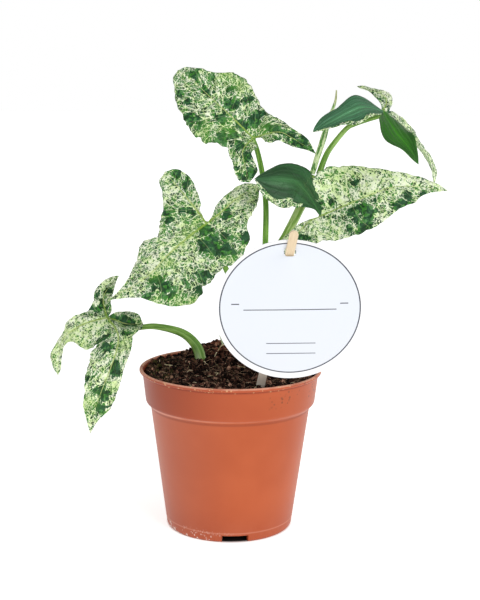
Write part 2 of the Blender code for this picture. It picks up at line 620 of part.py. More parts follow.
def make_card():
    """The round card. Rings run from the edge of its slot to its rim, and the stick pushes the edge of the slot
    back above and forward below."""
    segments, rings = 40, 5
    turn = np.linspace(0, 2 * math.pi, segments, endpoint=False)
    slot = np.stack([np.cos(turn) * SLOT_SIZE[0] / 2, np.sin(turn) * SLOT_SIZE[1] / 2], axis=1)
    # The slot keeps square ends: points outside the inner ellipse are pushed to a rounded rectangle.
    slot = slot / (np.abs(np.cos(turn)) ** 4 + np.abs(np.sin(turn)) ** 4)[:, None] ** 0.25
    drop = CARD_RADIUS - SLOT_BELOW_TOP
    across, rise = np.cos(turn), np.sin(turn)
    far = np.sqrt((rise * drop) ** 2 + CARD_RADIUS**2 - drop**2) - rise * drop
    rim = np.stack([across * far, rise * far], axis=1)
    lean = Matrix.Translation(SLOT_CENTRE) @ Matrix.Rotation(CARD_LEAN, 4, "X")
    lean = lean @ Matrix.Rotation(CARD_TURN, 4, "Y")
    points = []
    for face_side in (-1, 1):
        for k in range(rings + 1):
            share = (k / rings) ** 1.6
            spot = slot + (rim - slot) * share
            push = SLOT_PUSH * rise * (1 - share) ** 2
            for (x, z), y in zip(spot, push):
                points.append(lean @ Vector((x, y + face_side * CARD_THICKNESS / 2, z)))
    faces = []
    layer = (rings + 1) * segments
    for k in range(rings):
        for n in range(segments):
            m = (n + 1) % segments
            a, b, c, d = k * segments + n, k * segments + m, (k + 1) * segments + m, (k + 1) * segments + n
            faces += [(a, b, c), (a, c, d)]
            faces += [(a + layer, c + layer, b + layer), (a + layer, d + layer, c + layer)]
    for row in (0, rings):
        for n in range(segments):
            a, b = row * segments + n, row * segments + (n + 1) % segments
            side = [(a, b, b + layer), (a, b + layer, a + layer)]
            faces += [f[::-1] for f in side] if row == 0 else side
    mesh = mesh_of("label_card", points, faces)
    fix = bmesh.new()
    fix.from_mesh(mesh)
    bmesh.ops.recalc_face_normals(fix, faces=fix.faces)
    fix.to_mesh(mesh)
    fix.free()
    return link("label_card", mesh, (0.90, 0.92, 0.95), 0.4)


def main():
    clear_scene()
    make_pot()
    make_soil()
    make_stems()
    make_new_leaf()
    make_leaves()
    make_stick()
    make_card()


main()
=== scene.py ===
"""The looks of the potted arrowhead plant: finer leaves, stems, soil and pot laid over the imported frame."""

import json
import math

import bmesh
import bpy
import numpy as np
from mathutils import Matrix, Vector

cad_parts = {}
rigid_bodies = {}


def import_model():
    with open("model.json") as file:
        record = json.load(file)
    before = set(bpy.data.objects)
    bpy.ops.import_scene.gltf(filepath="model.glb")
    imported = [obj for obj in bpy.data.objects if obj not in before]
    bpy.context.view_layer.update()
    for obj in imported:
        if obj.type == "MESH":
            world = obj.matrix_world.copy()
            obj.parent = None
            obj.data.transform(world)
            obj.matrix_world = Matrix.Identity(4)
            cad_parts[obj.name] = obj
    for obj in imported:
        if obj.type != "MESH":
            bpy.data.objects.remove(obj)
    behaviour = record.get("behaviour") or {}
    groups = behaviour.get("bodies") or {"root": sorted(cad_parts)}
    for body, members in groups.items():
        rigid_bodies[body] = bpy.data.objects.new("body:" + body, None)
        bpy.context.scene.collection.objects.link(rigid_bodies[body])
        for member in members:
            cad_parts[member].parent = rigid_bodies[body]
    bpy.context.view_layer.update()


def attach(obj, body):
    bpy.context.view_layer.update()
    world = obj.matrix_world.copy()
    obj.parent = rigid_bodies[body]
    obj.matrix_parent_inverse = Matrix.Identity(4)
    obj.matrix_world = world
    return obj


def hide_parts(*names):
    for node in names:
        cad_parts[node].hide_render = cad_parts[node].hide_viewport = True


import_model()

MM = 0.001
TURN = 2 * math.pi

# Sizes, as in the part's source

# The pot's section in mm, as radius, height and how far the corner is rounded: foot, outer wall and lip.
FOOT = [(0, 0, 0), (7, 0, 0.5), (7.6, 4.0, 0.5), (38.4, 4.0, 0.6), (38.4, 0, 0.3)]
OUTER_WALL = [(40.6, 0, 0.4), (41.7, 1.2, 0.6), (42.5, 7, 2.0), (52.5, 81.2, 0.35), (55.7, 84.3, 1.3),
              (57.9, 103.3, 0.3)]
LIP = [(59.3, 103.5, 0.4), (60, 104.4, 0.5), (59.8, 105.5, 0.5), (59.0, 106, 0.4), (57.9, 105.6, 0.5)]
INNER_FLOOR = [(39.2, 5.6, 0.8), (0, 5.6, 0)]
INNER_WALL_HEIGHTS, WALL = (103.3, 84.7, 81.6, 7), 1.2
POT_SEGMENTS, POT_ROW, POT_SHARP = 240, 6 * MM, math.radians(38)
NOTCH_COUNT, NOTCH_TURN, NOTCH_TOP, NOTCH_INSIDE = 3, math.radians(6), 4.4 * MM, 38 * MM
# Half a notch's width, 17 mm on the foot's radius, and how far its sides spread to each side, as angles.
NOTCH_HALF, NOTCH_SLOPE = 17 / 2 / 40.6, 0.004
DRAIN_COUNT, DRAIN_CIRCLE, DRAIN_SIDES = 6, 25 * MM, 32
DRAIN_SECTION = [(0, -6), (4, -6), (4, 12), (0, 12)]
# Points nearer than this are made one, in the pot and in the stick.
POT_JOIN, STICK_JOIN = 0.0005 * MM, 0.02 * MM

RIM_RADIUS = 60 * MM
SOIL_FRONT, SOIL_RISE, SOIL_LEFT, SOIL_TOP = 99.5 * MM, 4.5 * MM, 4.2 * MM, 104.8 * MM
SOIL_SEGMENTS, SOIL_RINGS, SOIL_GAP = 220, 66, 0.3
SOIL_SIDE_HEIGHTS, SOIL_FOOT = (86, 81.2, 7.2), (38.8 * MM, 5.9 * MM)
MOUND_X, MOUND_Y, MOUND_RISE, MOUND_REACH = -9 * MM, 36 * MM, 11 * MM, 14 * MM
# Crumbs and fibres stay within this radius.
LOOSE_EDGE = 55 * MM
# The soil's lumps, as height and cell in mm and seed.
SOIL_LUMPS = ((1.5, 9, 3), (1.2, 4.2, 4), (0.8, 1.9, 5))
CRUMBS, HEAPED_CRUMBS, CRUMB_SPREAD = 5200, 700, 55.5 * MM
FIBRE_STEPS, FIBRE_SPREAD = 9, 52 * MM

RIB_STEPS, CROSS_STEPS, RIB_READINGS = 72, 26, 96
BLADE_WAVE, VEIN_GAP = 1.6 * MM, 11 * MM
STALK_STEPS, STALK_SIDES = 90, 28
STALK_APPROACH, STALK_END = 3.5 * MM, 0.5 * MM

CARD_RADIUS, CARD_THICKNESS = 45.5 * MM, 0.7 * MM
CARD_LEAN, CARD_TURN = math.radians(13), math.radians(-1.4)
CARD_SEGMENTS, CARD_RINGS, CARD_SHARP = 180, 30, math.radians(50)
SLOT_CENTRE, SLOT_SIZE = (35.0 * MM, -72 * MM, 192.8 * MM), (6.4 * MM, 4.0 * MM)
SLOT_BELOW_TOP, SLOT_PUSH = 8 * MM, 1.5 * MM
RING_RADIUS = 42.3
# The card's bars in mm: middle and half length across, middle and half thickness upwards. The first five are
# print; the last two are painted shadow down the slot's sides.
BARS = ((-32.9, 2.4, 4.6, 0.34), (32.6, 2.4, 4.6, 0.34), (0.0, 28.0, 0.8, 0.30), (0.6, 15.0, -21.6, 0.24),
        (0.6, 15.0, -28.4, 0.24), (-3.2, 0.35, 37.7, 0.8), (3.2, 0.35, 37.7, 0.8))
STICK_LEAN, STICK_SIDE_LEAN = math.radians(23), math.radians(9)
STICK_WIDTH, STICK_THICKNESS = 5.4 * MM, 1.2 * MM
STICK_ABOVE_SLOT, STICK_BELOW_SLOT = 15 * MM, 136 * MM

FLOOR_RADIUS = 9
# The lamps' names, directions, spreads in degrees and strengths.
LAMPS = (("key", (-0.62, 0.78, -0.58), 30, 1.0), ("front", (0.02, 0.97, -0.21), 10, 0.36))
CAMERA_PLACE, CAMERA_LENS, CAMERA_TILT, CAMERA_ROLL = (0.0058, -0.800, 0.2953), 74.66, 0.1786, 0.0108

# The stalks: centre line in mm from the soil or the stem up, radius in mm at each end, how green and how
# streaked with cream they are from 0 to 1, and where the joint rings are, as shares of the length.
STEMS = {
    "main_stem": {"path": [(13, 25, 84), (15, 24, 106), (19, 20, 146), (27, 18, 173), (36, 18, 191.5),
        (43.5, 18, 207), (54, 18, 231)], "radius": (3.6, 2.9), "rings": (0.42, 0.69, 0.86), "green": 0.25,
        "cream": 0.35},
    "petiole_top_left": {"path": [(21, 8, 84), (22, 8, 110), (22, 7, 150), (22, 8, 187), (22, 12, 212),
        (19.5, 15, 232), (16, 11, 247)], "radius": (2.7, 1.7), "green": 0.85, "cream": 0.0},
    "petiole_middle_left": {"path": [(16, 15, 84), (17, 15, 108), (9, 14, 140), (-3, 11, 168), (-11, 6, 186),
        (-15, 1, 197)], "radius": (2.7, 1.7), "green": 0.8, "cream": 0.0},
    "petiole_low_left": {"path": [(-16, 25, 86), (-20, 25, 104.5), (-24, 26, 115), (-34, 28, 123),
        (-52, 28, 127), (-66, 23, 126.5), (-76, 15, 129)], "radius": (5.0, 1.1), "green": 0.68, "cream": 0.9},
    "petiole_right": {"path": [(32, 18, 180), (40, 17, 184), (47, 15, 190), (54, 11, 199)],
        "radius": (2.4, 1.7), "green": 0.7, "cream": 0.1},
    "petiole_top_right": {"path": [(56.7, 18, 232), (60.4, 18, 242.7), (64.3, 17.5, 250), (73.5, 16, 261.7),
        (79, 15, 265), (87, 12.5, 268)], "radius": (2.0, 1.5), "green": 0.62, "cream": 0.15},
    "young_shoot": {"path": [(-4, 34, 92), (-5, 33, 109), (-6, 33, 115), (-7.8, 33, 120.5)],
        "radius": (2.0, 0.5), "green": 0.1, "cream": 0.8},
}

NEW_LEAF_PATH = [(52.2, 18, 232.3), (55.2, 18, 243), (58.3, 18, 253), (62.4, 17, 268), (66, 16, 279),
                 (66.7, 16, 286.6)]
# Its radius in mm at shares of its length.
NEW_LEAF_SHARES, NEW_LEAF_RADII = (0, 0.45, 0.72, 1), (1.8, 2.1, 1.2, 0.4)
NEW_LEAF_STEPS, NEW_LEAF_SIDES = 80, 32

# Twigs on the soil: x and y of one end in mm, heading in degrees and length in mm.
TWIGS = [(-12, 19.6, 68, 22), (-2.4, 38, 85, 10), (-19.3, 16.8, -40, 5), (-45.1, 8.4, -69, 12),
         (-28.7, -14.6, 55, 9), (3.7, 5.5, -46, 8), (-9.7, -20.8, 65, 8)]

# The leaves, as in the part's source. "cover" is how much of the blade is green, "patches" is how much is
# added to it in the spots listed under "green", and "pale" spots take some away. "bright" spots turn it
# yellow-green. Spots are x, y and radius in mm on the flat leaf, with the stalk at 0, 0 and the middle lobe's
# tip along x. "midrib" is the midrib's half width at the stalk in mm, and "notches" are how far from the
# stalk the notch between two lobes lies in mm and at what share of the turn between their ribs. "middle" is
# the lobe along x, where it isn't lobe 1. A lobe has its rib's points in mm, the way its tip faces, its fold
# in degrees, and its width on each side in mm at shares of the rib. "plain" is the green of a lobe that isn't
# splashed. "splashed" is a splashed band on a plain lobe: its side, the cross share where it starts, the rib
# shares where it starts and ends, and its cover.
LEAVES = {
    "leaf_top_left": {
        "petiole": "petiole_top_left", "base": (13, 4, 256), "facing": (-0.1, -0.8, 0.55),
        "notches": [(20, 0.47), (17, 0.65)], "cover": 0.89, "patches": 0.54, "seed": 1, "midrib": 0.6,
        "green": [(47, -2, 2.8), (60, 13, 3.4), (50, 12, 2.8), (27, -6, 4.1), (9, -9, 5.6), (9, -15, 3.7),
                  (-4.5, -11.4, 2.2), (-8, -13.5, 2), (-11.9, -15.6, 2.4), (-15, -17.4, 2),
                  (-17.4, -19.4, 2.6), (-20, -22.5, 2.4), (-22, -24.6, 2.6), (-25, -27, 2.4),
                  (-27.7, -28.8, 2.4), (11, -2, 3.2), (39, 17, 4.5), (32, 18, 2.9), (25, 6, 4), (11, 10, 5.4),
                  (14, 14, 3), (17, 18, 2.9), (2, 12, 3.9), (23, -16, 3.6), (37, -13, 3.5), (62, -3, 4.3),
                  (51, -10, 2.7), (-18, -8, 3.8), (-14, -17, 2.2), (-16, -21, 3), (-19, -27, 2.9),
                  (-23, -30, 2.8), (-28, -33, 2.1), (-8, 17, 4.4), (-9, 30, 4.6), (1, 27, 2.5), (-3, 32, 2.1),
                  (-6, 21, 2.3)],
        "bright": [(46, -18, 5.2), (37, -20, 5.4), (26, 18, 4.5), (16, 7, 4.6), (-2, 2, 3), (-2, -9, 4.4)],
        "pale": [(37, -4, 4.1), (17, -5, 3.4), (41, 6, 3.4), (65, 8, 3.9)],
        "lobes": [
            {"rib": [(28, -2, 260), (37, -4, 257), (53, -5, 247)], "facing": (0.2, -0.8, 0.55), "fold": 18,
             "left": [(0.33, 12.5), (0.5, 7), (0.8, 4.5)], "right": [(0.12, 1.5), (0.23, 8), (0.35, 10.5),
             (0.5, 6.2), (0.7, 5.6), (0.86, 3)]},
            {"rib": [(-2, 10, 270), (-17, 21, 283), (-27, 29, 292), (-37, 38, 298)],
             "facing": (-0.5, -0.55, 0.6), "fold": 4, "left": [(0.2, 18.5), (0.4, 22), (0.56, 21.3),
             (0.76, 17.2), (0.89, 12), (0.98, 6)], "right": [(0.3, 23), (0.45, 25.8), (0.6, 24.8), (0.7, 14),
             (0.83, 8.5), (0.95, 5)]},
            {"rib": [(7, -4, 249), (7, -9, 243), (11, -16, 229)], "facing": (-0.2, -0.9, 0.3), "fold": 14,
             "left": [(0.09, 3.3), (0.25, 8.7), (0.5, 6), (0.84, 7.5)], "right": [(0.4, 9.8), (0.6, 7.2),
             (0.75, 7.2), (0.92, 6)]},
        ],
    },
    "leaf_middle_left": {
        "petiole": "petiole_middle_left", "base": (-16, -8, 202), "facing": (-0.15, -0.85, 0.5),
        "notches": [(32, 0.72), (26, 0.7)], "cover": 0.7, "patches": 0.8, "seed": 2, "midrib": 0.9,
        "green": [(5, -17, 4.7), (3, -12, 3.3), (-7, -27, 4.2), (-7, -39, 3.6), (13, -25, 4.1),
                  (16, -18, 3.6), (5, 5, 5.4), (5, 12, 5.4), (12, 11, 5.4), (10, 17, 5.5), (-2, 15, 4.7),
                  (4, 22, 4.7), (-1, 27, 4.3), (-10, 26, 4.6), (49, 8, 3.9), (50, 15, 4.1), (51, 21, 2.7),
                  (55, 10, 3), (40, 23, 4.1), (28, 27, 5.6), (23, 30, 3.1), (38, 33, 3.9), (60, 13, 3.1),
                  (-12, 5, 3.6), (-20, 13, 2.2)],
        "bright": [(5, -3, 4.1), (13, -2, 4), (21, 1, 3.9), (37, 4, 4.2), (48, 2, 3.9), (57, 19, 3.2),
                   (51, 27, 3.9), (46, 32, 3.3), (5, 30, 3.4)],
        "pale": [(25, 13, 6.3), (-8, 15, 3.9), (44, -5, 5.5), (23, -4, 3.4), (30, 12, 3.5), (2, -34, 2.8),
                 (-21, 7, 4.1)],
        "lobes": [
            {"rib": [(-21, -5, 208), (-27, -2, 215), (-44, 13, 233)], "facing": (-0.5, -0.8, 0.4), "fold": 8,
             "left": [(0.37, 25), (0.6, 16), (0.75, 10.5), (0.93, 7)], "right": [(0.2, 1.5), (0.28, 5.5),
             (0.5, 9.2), (0.7, 10.2), (0.88, 8)]},
            {"rib": [(-27, -13, 194), (-40, -19, 183), (-54, -26, 169), (-77, -35, 156)],
             "facing": (-0.2, -0.85, 0.5), "fold": 6, "left": [(-0.12, 28.5), (-0.02, 33.2), (0.19, 30.5),
             (0.33, 33), (0.43, 34), (0.54, 36.5), (0.63, 31), (0.7, 21), (0.77, 11), (0.87, 5)],
             "right": [(0.4, 14.5), (0.45, 19.5), (0.56, 15.5), (0.67, 11.5), (0.78, 5.5), (0.9, 1.5)]},
            {"rib": [(-7, -8, 209), (2, -5, 217), (17, 5, 226)], "facing": (0.1, -0.8, 0.5), "fold": 8,
             "left": [(0.15, 2.3), (0.27, 5.3), (0.47, 6.3), (0.7, 7), (0.86, 5)], "right": [(0.42, 18),
             (0.66, 13.5), (0.82, 9), (0.94, 4)]},
        ],
    },
    "leaf_low_left": {
        "petiole": "petiole_low_left", "base": (-82, 6, 137), "facing": (-0.2, -0.8, 0.56),
        "notches": [(13.4, 0.6), (22, 0.75), (22, 0.4)], "cover": 0.64, "patches": 1.0, "seed": 3,
        "midrib": 0.8,
        "green": [(4, -17, 2.7), (1, -11, 4.5), (5, -8, 3.3), (-3, -21, 3), (6, 17, 5), (0, 29, 5.6),
                  (10, 23, 6.2), (-5, 1, 3.9), (-11, 4, 4.5), (-16, 7, 3.7), (-10, 15, 2.6), (-12, 37, 3.4),
                  (-16, 42, 2.6), (-16, 56, 3.7), (-21, 56, 2.8), (-23, 64, 4.2), (-3, 53, 2.6)],
        "bright": [(22, 14, 4.6), (-15, 64, 4.7), (-9, 23, 3.1), (-22, 49, 2.4), (12, 4, 3.0), (27, 2, 4.0),
                   (40, -1, 3.0)],
        "pale": [(17, -5, 6.5), (12, 6, 4.5), (30, -1, 6.5), (40, 3, 5.0), (-2, 42, 4.6), (-11, 58, 2.7),
                 (23, 4, 5.1), (-6, 15, 2.6)],
        "lobes": [
            {"rib": [(-85, 14, 146), (-84, 18, 152), (-76, 26, 162)], "facing": (0.1, -0.9, 0.3), "fold": 30,
             "left": [(0.28, 9.5), (0.37, 7.3), (0.47, 6.9), (0.58, 6.9), (0.76, 5.3), (0.91, 2.9)],
             "right": [(0.11, 4.5), (0.38, 7.5), (0.6, 5.5), (0.85, 2)]},
            {"rib": [(-97, 3, 133), (-111, 0, 122), (-113.5, -3, 100)], "facing": (-0.7, -0.6, 0.2),
             "fold": 8, "left": [(0.17, 23), (0.35, 21), (0.46, 13), (0.53, 7.4), (0.63, 5.6), (0.75, 2.8),
             (0.93, 2.5)], "right": [(0.22, 8), (0.33, 9), (0.44, 8.8), (0.52, 5.2), (0.68, 4.5), (0.82, 6.5),
             (0.93, 4.5)]},
            {"rib": [(-75, -3, 131), (-73, -9, 124), (-76, -17, 112), (-86, -24, 85), (-90, -26, 67)],
             "facing": (-0.1, -0.95, 0.1), "fold": 14, "left": [(0.33, 7.6), (0.45, 7), (0.6, 7.8), (0.78, 8),
             (0.89, 3.5)], "right": [(0.35, 20), (0.49, 17.5), (0.6, 16), (0.7, 12), (0.8, 9.8), (0.88, 5)]},
            {"rib": [(-76, 7, 135), (-69, 8, 132.5), (-58.5, 13, 131.5)], "facing": (0.2, -0.7, 0.6),
             "fold": 25, "left": [(0.2, 5.8), (0.48, 9.3), (0.85, 7.5)], "right": [(0.84, 6.3), (0.94, 2.9)]},
        ],
    },
    "leaf_right": {
        "petiole": "petiole_right", "base": (58, 6, 206), "facing": (0.05, -0.8, 0.6), "notches": [(26, 0.2),
        (9, 0.6)], "cover": 0.62, "patches": 0.96, "seed": 4, "midrib": 0.6,
        "green": [(20, -7, 3.9), (28, -7, 3.9), (30, -13, 3.7), (26, -18, 4.9), (35, -12, 2.9),
                  (21, -11, 2.9), (48, -13, 4.1), (53, -13, 4.5), (60, -14, 3.1), (37, -5, 3.3),
                  (58, -7, 3.2), (71, -5, 3.3), (30, 8, 2.0), (11, 5, 2.6), (4, 8, 2.6), (-18, -16, 4.4),
                  (15, -16, 2.6)],
        "bright": [(32, 18, 3.4), (23, 19, 2.3)],
        "pale": [(-3, -8, 6.4), (52, 4, 5.6), (39, 11, 4.5)],
        "lobes": [
            {"rib": [(50, 0, 203), (42, -8, 196), (26, -28, 182)], "facing": (0.0, -0.85, 0.5), "fold": 8,
             "left": [(0.45, 13), (0.7, 9)], "right": [(0.1, 0.5), (0.22, 1.1), (0.35, 3.2), (0.6, 5),
             (0.85, 4)]},
            {"rib": [(83, 0, 218), (100, -1, 225), (117, 2, 226), (140, 9, 223)], "facing": (0.1, -0.85, 0.5),
             "fold": 6, "left": [(0.04, 14), (0.11, 22.5), (0.2, 24), (0.3, 22.5), (0.4, 19.5), (0.5, 14),
             (0.6, 10), (0.75, 8), (0.88, 5.5)], "right": [(0.08, 20), (0.28, 21.5), (0.41, 19.8),
             (0.6, 15.5), (0.7, 13), (0.76, 8), (0.88, 3)]},
            {"rib": [(52, -1, 216), (46, -7, 224), (38, -13, 230), (14, -23, 232)],
             "facing": (-0.1, -0.85, 0.5), "fold": -6, "left": [(0.13, 2.3), (0.27, 8), (0.45, 15),
             (0.67, 18), (0.83, 15.5), (0.95, 9)], "right": [(0.12, 4), (0.25, 8), (0.35, 10), (0.5, 11.5),
             (0.68, 12), (0.8, 9), (0.92, 4)], "plain": (0.021, 0.092, 0.027),
             "splashed": [(1, 0.66, 0.25, 1.1, 0.3)]},
        ],
    },
    "leaf_top_right": {
        "petiole": "petiole_top_right", "base": (96, 6, 274), "facing": (0.35, -0.3, 0.88), "middle": 2,
        "notches": [(7, 0.6), (13, 0.6), (9, 0.4)], "cover": 0.64, "patches": 0.74, "seed": 5, "midrib": 0.6,
        "green": [(9, 22, 2.8), (1, 11, 3.1), (8, 3, 3.1), (57, -9, 4)],
        "bright": [],
        "pale": [],
        "lobes": [
            {"rib": [(86, 0, 276), (76, -6, 274), (50, -17, 261)], "facing": (-0.2, -0.7, 0.6), "fold": 12,
             "left": [(0.18, 9.8), (0.38, 13), (0.5, 13), (0.64, 9.5), (0.8, 6)], "right": [(0.07, 8),
             (0.2, 11), (0.35, 11), (0.54, 8.5), (0.63, 8.5), (0.8, 6.5), (0.93, 3)],
             "plain": (0.046, 0.17, 0.075), "splashed": [(1, 0.72, -0.2, 1.1, 0.42)]},
            {"rib": [(103, -9, 261), (111, -18, 251), (116, -23, 242)], "facing": (0.1, -0.85, 0.3),
             "fold": 12, "left": [(0.32, 11.5), (0.6, 8.5), (0.77, 5), (0.88, 2.7)], "right": [(0.23, 10),
             (0.38, 11.3), (0.55, 11.5), (0.69, 7.7), (0.82, 4.8), (0.93, 2)],
             "plain": (0.022, 0.135, 0.006)},
            {"rib": [(106, 16, 267), (124, 31, 249), (134.5, 39, 235), (136, 42, 224)],
             "facing": (0.88, -0.36, 0.3), "fold": 10, "left": [(0.2, 5.5), (0.45, 6.5), (0.65, 7), (0.8, 8),
             (0.93, 5)], "right": [(0.25, 14), (0.5, 13), (0.75, 9)]},
            {"rib": [(99, 14, 279), (97, 21, 284), (82, 38, 289)], "facing": (0.2, -0.8, 0.5), "fold": 12,
             "left": [(0.07, 2), (0.16, 5.3), (0.3, 7.5), (0.58, 5.5), (0.8, 2.5)], "right": [(0.35, 5.5),
             (0.6, 6), (0.8, 4)]},
        ],
    },
}


# Shaping

def unit(v):
    """The vectors made 1 long."""
    v = np.asarray(v, float)
    return v / np.maximum(np.linalg.norm(v, axis=-1, keepdims=True), 1e-12)


def eased(x, low=0.0, high=1.0):
    """0 below low, 1 above high, and 3x^2 - 2x^3 of the share between."""
    x = np.clip((np.asarray(x, float) - low) / (high - low), 0, 1)
    return x * x * (3 - 2 * x)


def columns(*values):
    """The values as the columns of one table, where a single number is repeated down its column."""
    return np.stack(np.broadcast_arrays(*values), axis=-1)


def hump(x, middle, width):
    """A smooth hump: 1 at the middle, falling as exp(-distance^2) of the distance in widths."""
    return np.exp(-((x - middle) / width)**2)


def turn_round(sides):
    """The angles of evenly spaced points round a ring."""
    return np.linspace(0, TURN, sides, endpoint=False)


def smooth_path(points, count, steps=24):
    """A Catmull-Rom curve through the points: between b and c it is half of 2b + (c-a)t + (2a-5b+4c-d)t^2 +
    (3b-a-3c+d)t^3. It is then read at count points evenly spaced along it."""
    points = np.asarray(points, float)
    held = np.vstack([2 * points[0] - points[1], points, 2 * points[-1] - points[-2]])
    a, b, c, d = (held[k:len(held) - 3 + k][:, None] for k in range(4))
    t = np.linspace(0, 1, steps, endpoint=False)[None, :, None]
    curve = 0.5 * (2 * b + (c - a) * t + (2 * a - 5 * b + 4 * c - d) * t**2 + (3 * b - a - 3 * c + d) * t**3)
    dense = np.vstack([curve.reshape(-1, points.shape[1]), points[-1:]])
    run = distance_run(dense)
    even = np.linspace(0, run[-1], count)
    return np.stack([np.interp(even, run, column) for column in dense.T], axis=1)


def distance_run(path):
    """How far along the path each of its points is."""
    return np.concatenate([[0], np.cumsum(np.linalg.norm(np.diff(path, axis=0), axis=1))])


def net(rows, columns, looped=False):
    """The four-cornered faces of a grid of points that is numbered row by row. Each row's last point is
    joined to its first, and the last row is joined to the first row too if looped."""
    number = np.arange(rows * columns).reshape(rows, columns)
    if looped:
        number = np.vstack([number, number[:1]])
    beside = np.roll(number, -1, axis=1)
    return np.stack([number[:-1], beside[:-1], beside[1:], number[1:]], axis=-1).reshape(-1, 4)


def capped(rings, first_pole, last_pole, flip=False):
    """The points and faces of a closed body, from rings of points and a pole at each end. The faces look
    outwards if each ring runs to the left of the way from ring to ring, or to the right of it with flip."""
    rows, sides = rings.shape[:2]
    start = rows * sides
    first = np.arange(sides)
    last = first + start - sides
    faces = [net(rows, sides), np.stack([np.full(sides, start), np.roll(first, -1), first], axis=1),
             np.stack([np.full(sides, start + 1), last, np.roll(last, -1)], axis=1)]
    points = np.vstack([rings.reshape(-1, 3), first_pole, last_pole])
    return points, [f[:, ::-1] for f in faces] if flip else faces


def piece(name, points, faces, material, stands_for=(), values=None):
    """An object of the plant from points in metres and a list of face arrays, three- or four-cornered. values
    holds three numbers a point under each attribute's name."""
    mesh = bpy.data.meshes.new(name)
    corners = np.concatenate([np.asarray(f).ravel() for f in faces])
    sizes = np.concatenate([np.full(len(f), np.asarray(f).shape[1]) for f in faces])
    mesh.vertices.add(len(points))
    mesh.vertices.foreach_set("co", np.asarray(points, np.float32).ravel())
    mesh.loops.add(len(corners))
    mesh.loops.foreach_set("vertex_index", corners.astype(np.int32))
    mesh.polygons.add(len(sizes))
    mesh.polygons.foreach_set("loop_start", np.concatenate([[0], np.cumsum(sizes)[:-1]]).astype(np.int32))
    mesh.polygons.foreach_set("use_smooth", np.ones(len(sizes), bool))
    mesh.update(calc_edges=True)
    mesh.validate()
    for key, table in (values or {}).items():
        layer = mesh.attributes.new(key, "FLOAT_VECTOR", "POINT")
        layer.data.foreach_set("vector", np.asarray(table, np.float32).ravel())
    mesh.materials.append(material)
    made = bpy.data.objects.new(name, mesh)
    bpy.context.scene.collection.objects.link(made)
    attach(made, "root")
    if stands_for:
        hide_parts(*stands_for)
    return made


def merged(made, reach):
    """The object's points within reach made one, flat faces dropped, and all faces turned outwards."""
    fix = bmesh.new()
    fix.from_mesh(made.data)
    bmesh.ops.remove_doubles(fix, verts=fix.verts, dist=reach)
    bmesh.ops.dissolve_degenerate(fix, edges=fix.edges, dist=1e-7)
    bmesh.ops.recalc_face_normals(fix, faces=fix.faces)
    fix.to_mesh(made.data)
    fix.free()


def tube(path, radii):
    """A closed tube: at each point of the path a ring in the plane across it, at radii[i, k] from the path,
    with a pole at each end. Returns the points and faces, and the angle and the distance run at each
    point."""
    count, sides = radii.shape
    along = unit(np.gradient(path, axis=0))
    across = unit(np.cross(along, (0.0, 1.0, 0.0)))
    up = np.cross(across, along)
    turn = turn_round(sides)
    ring = np.cos(turn)[None, :, None] * across[:, None] + np.sin(turn)[None, :, None] * up[:, None]
    points, faces = capped(path[:, None] + ring * radii[:, :, None], path[0], path[-1], flip=True)
    run = distance_run(path)
    angle = np.concatenate([np.tile(turn, count), [0, 0]])
    return points, faces, angle, np.concatenate([np.repeat(run, sides), [0, run[-1]]])


def turned(profile, turn):
    """The closed body that a profile of radius and height makes about Z: the point at each angle is radius
    times its cosine and sine, and the first and last points of the profile are poles on the axis."""
    radius, height = profile[1:-1, :1], profile[1:-1, 1:]
    rings = np.stack([radius * np.cos(turn), radius * np.sin(turn), height + 0 * turn], axis=-1)
    return capped(rings, (0, 0, profile[0][1]), (0, 0, profile[-1][1]))


def rounded(corners, steps=5):
    """A profile with its corners rounded. Each corner is radius, height and reach in mm, and is replaced by
    the curve (1-t)^2 A + 2t(1-t) C + t^2 B, where A and B lie that reach before and after the corner C."""
    t = np.linspace(0, 1, steps)[:, None]
    line = [corners[0][:2]]
    for before, (*corner, reach), after in zip(corners, corners[1:], corners[2:]):
        ways = np.array([before[:2], after[:2]], float) - corner
        reaches = np.minimum(reach, 0.45 * np.linalg.norm(ways, axis=1))
        a, b = corner + unit(ways) * reaches[:, None]
        line.extend((1 - t)**2 * a + 2 * t * (1 - t) * np.array(corner) + t**2 * b)
    return np.array([*line, corners[-1][:2]]) * MM


def lumps(x, y, cell, seed):
    """Smooth random heights from -1 to 1: seeded numbers at the corners of square cells, blended between them
    with 3x^2 - 2x^3."""
    table = np.random.default_rng(seed).uniform(-1, 1, (64, 64))
    gx, gy = np.asarray(x) / cell + 17.3, np.asarray(y) / cell + 5.1
    ix, iy = np.floor(gx).astype(int), np.floor(gy).astype(int)
    fx, fy = eased(gx - ix), eased(gy - iy)
    low = table[ix % 64, iy % 64] * (1 - fx) + table[(ix + 1) % 64, iy % 64] * fx
    high = table[ix % 64, (iy + 1) % 64] * (1 - fx) + table[(ix + 1) % 64, (iy + 1) % 64] * fx
    return low * (1 - fy) + high * fy


def turns(angles, axis):
    """The 3 x 3 matrices that turn by the angles about an axis, from 0 for X to 2 for Z."""
    made = np.zeros((len(angles), 3, 3))
    i, j = (axis + 1) % 3, (axis + 2) % 3
    made[:, axis, axis] = 1
    made[:, i, i] = made[:, j, j] = np.cos(angles)
    made[:, i, j], made[:, j, i] = -np.sin(angles), np.sin(angles)
    return made


def in_place(matrix, points):
    """The points under a 4 x 4 placing matrix."""
    matrix = np.array(matrix, float)
    return points @ matrix[:3, :3].T + matrix[:3, 3]


# Shader building

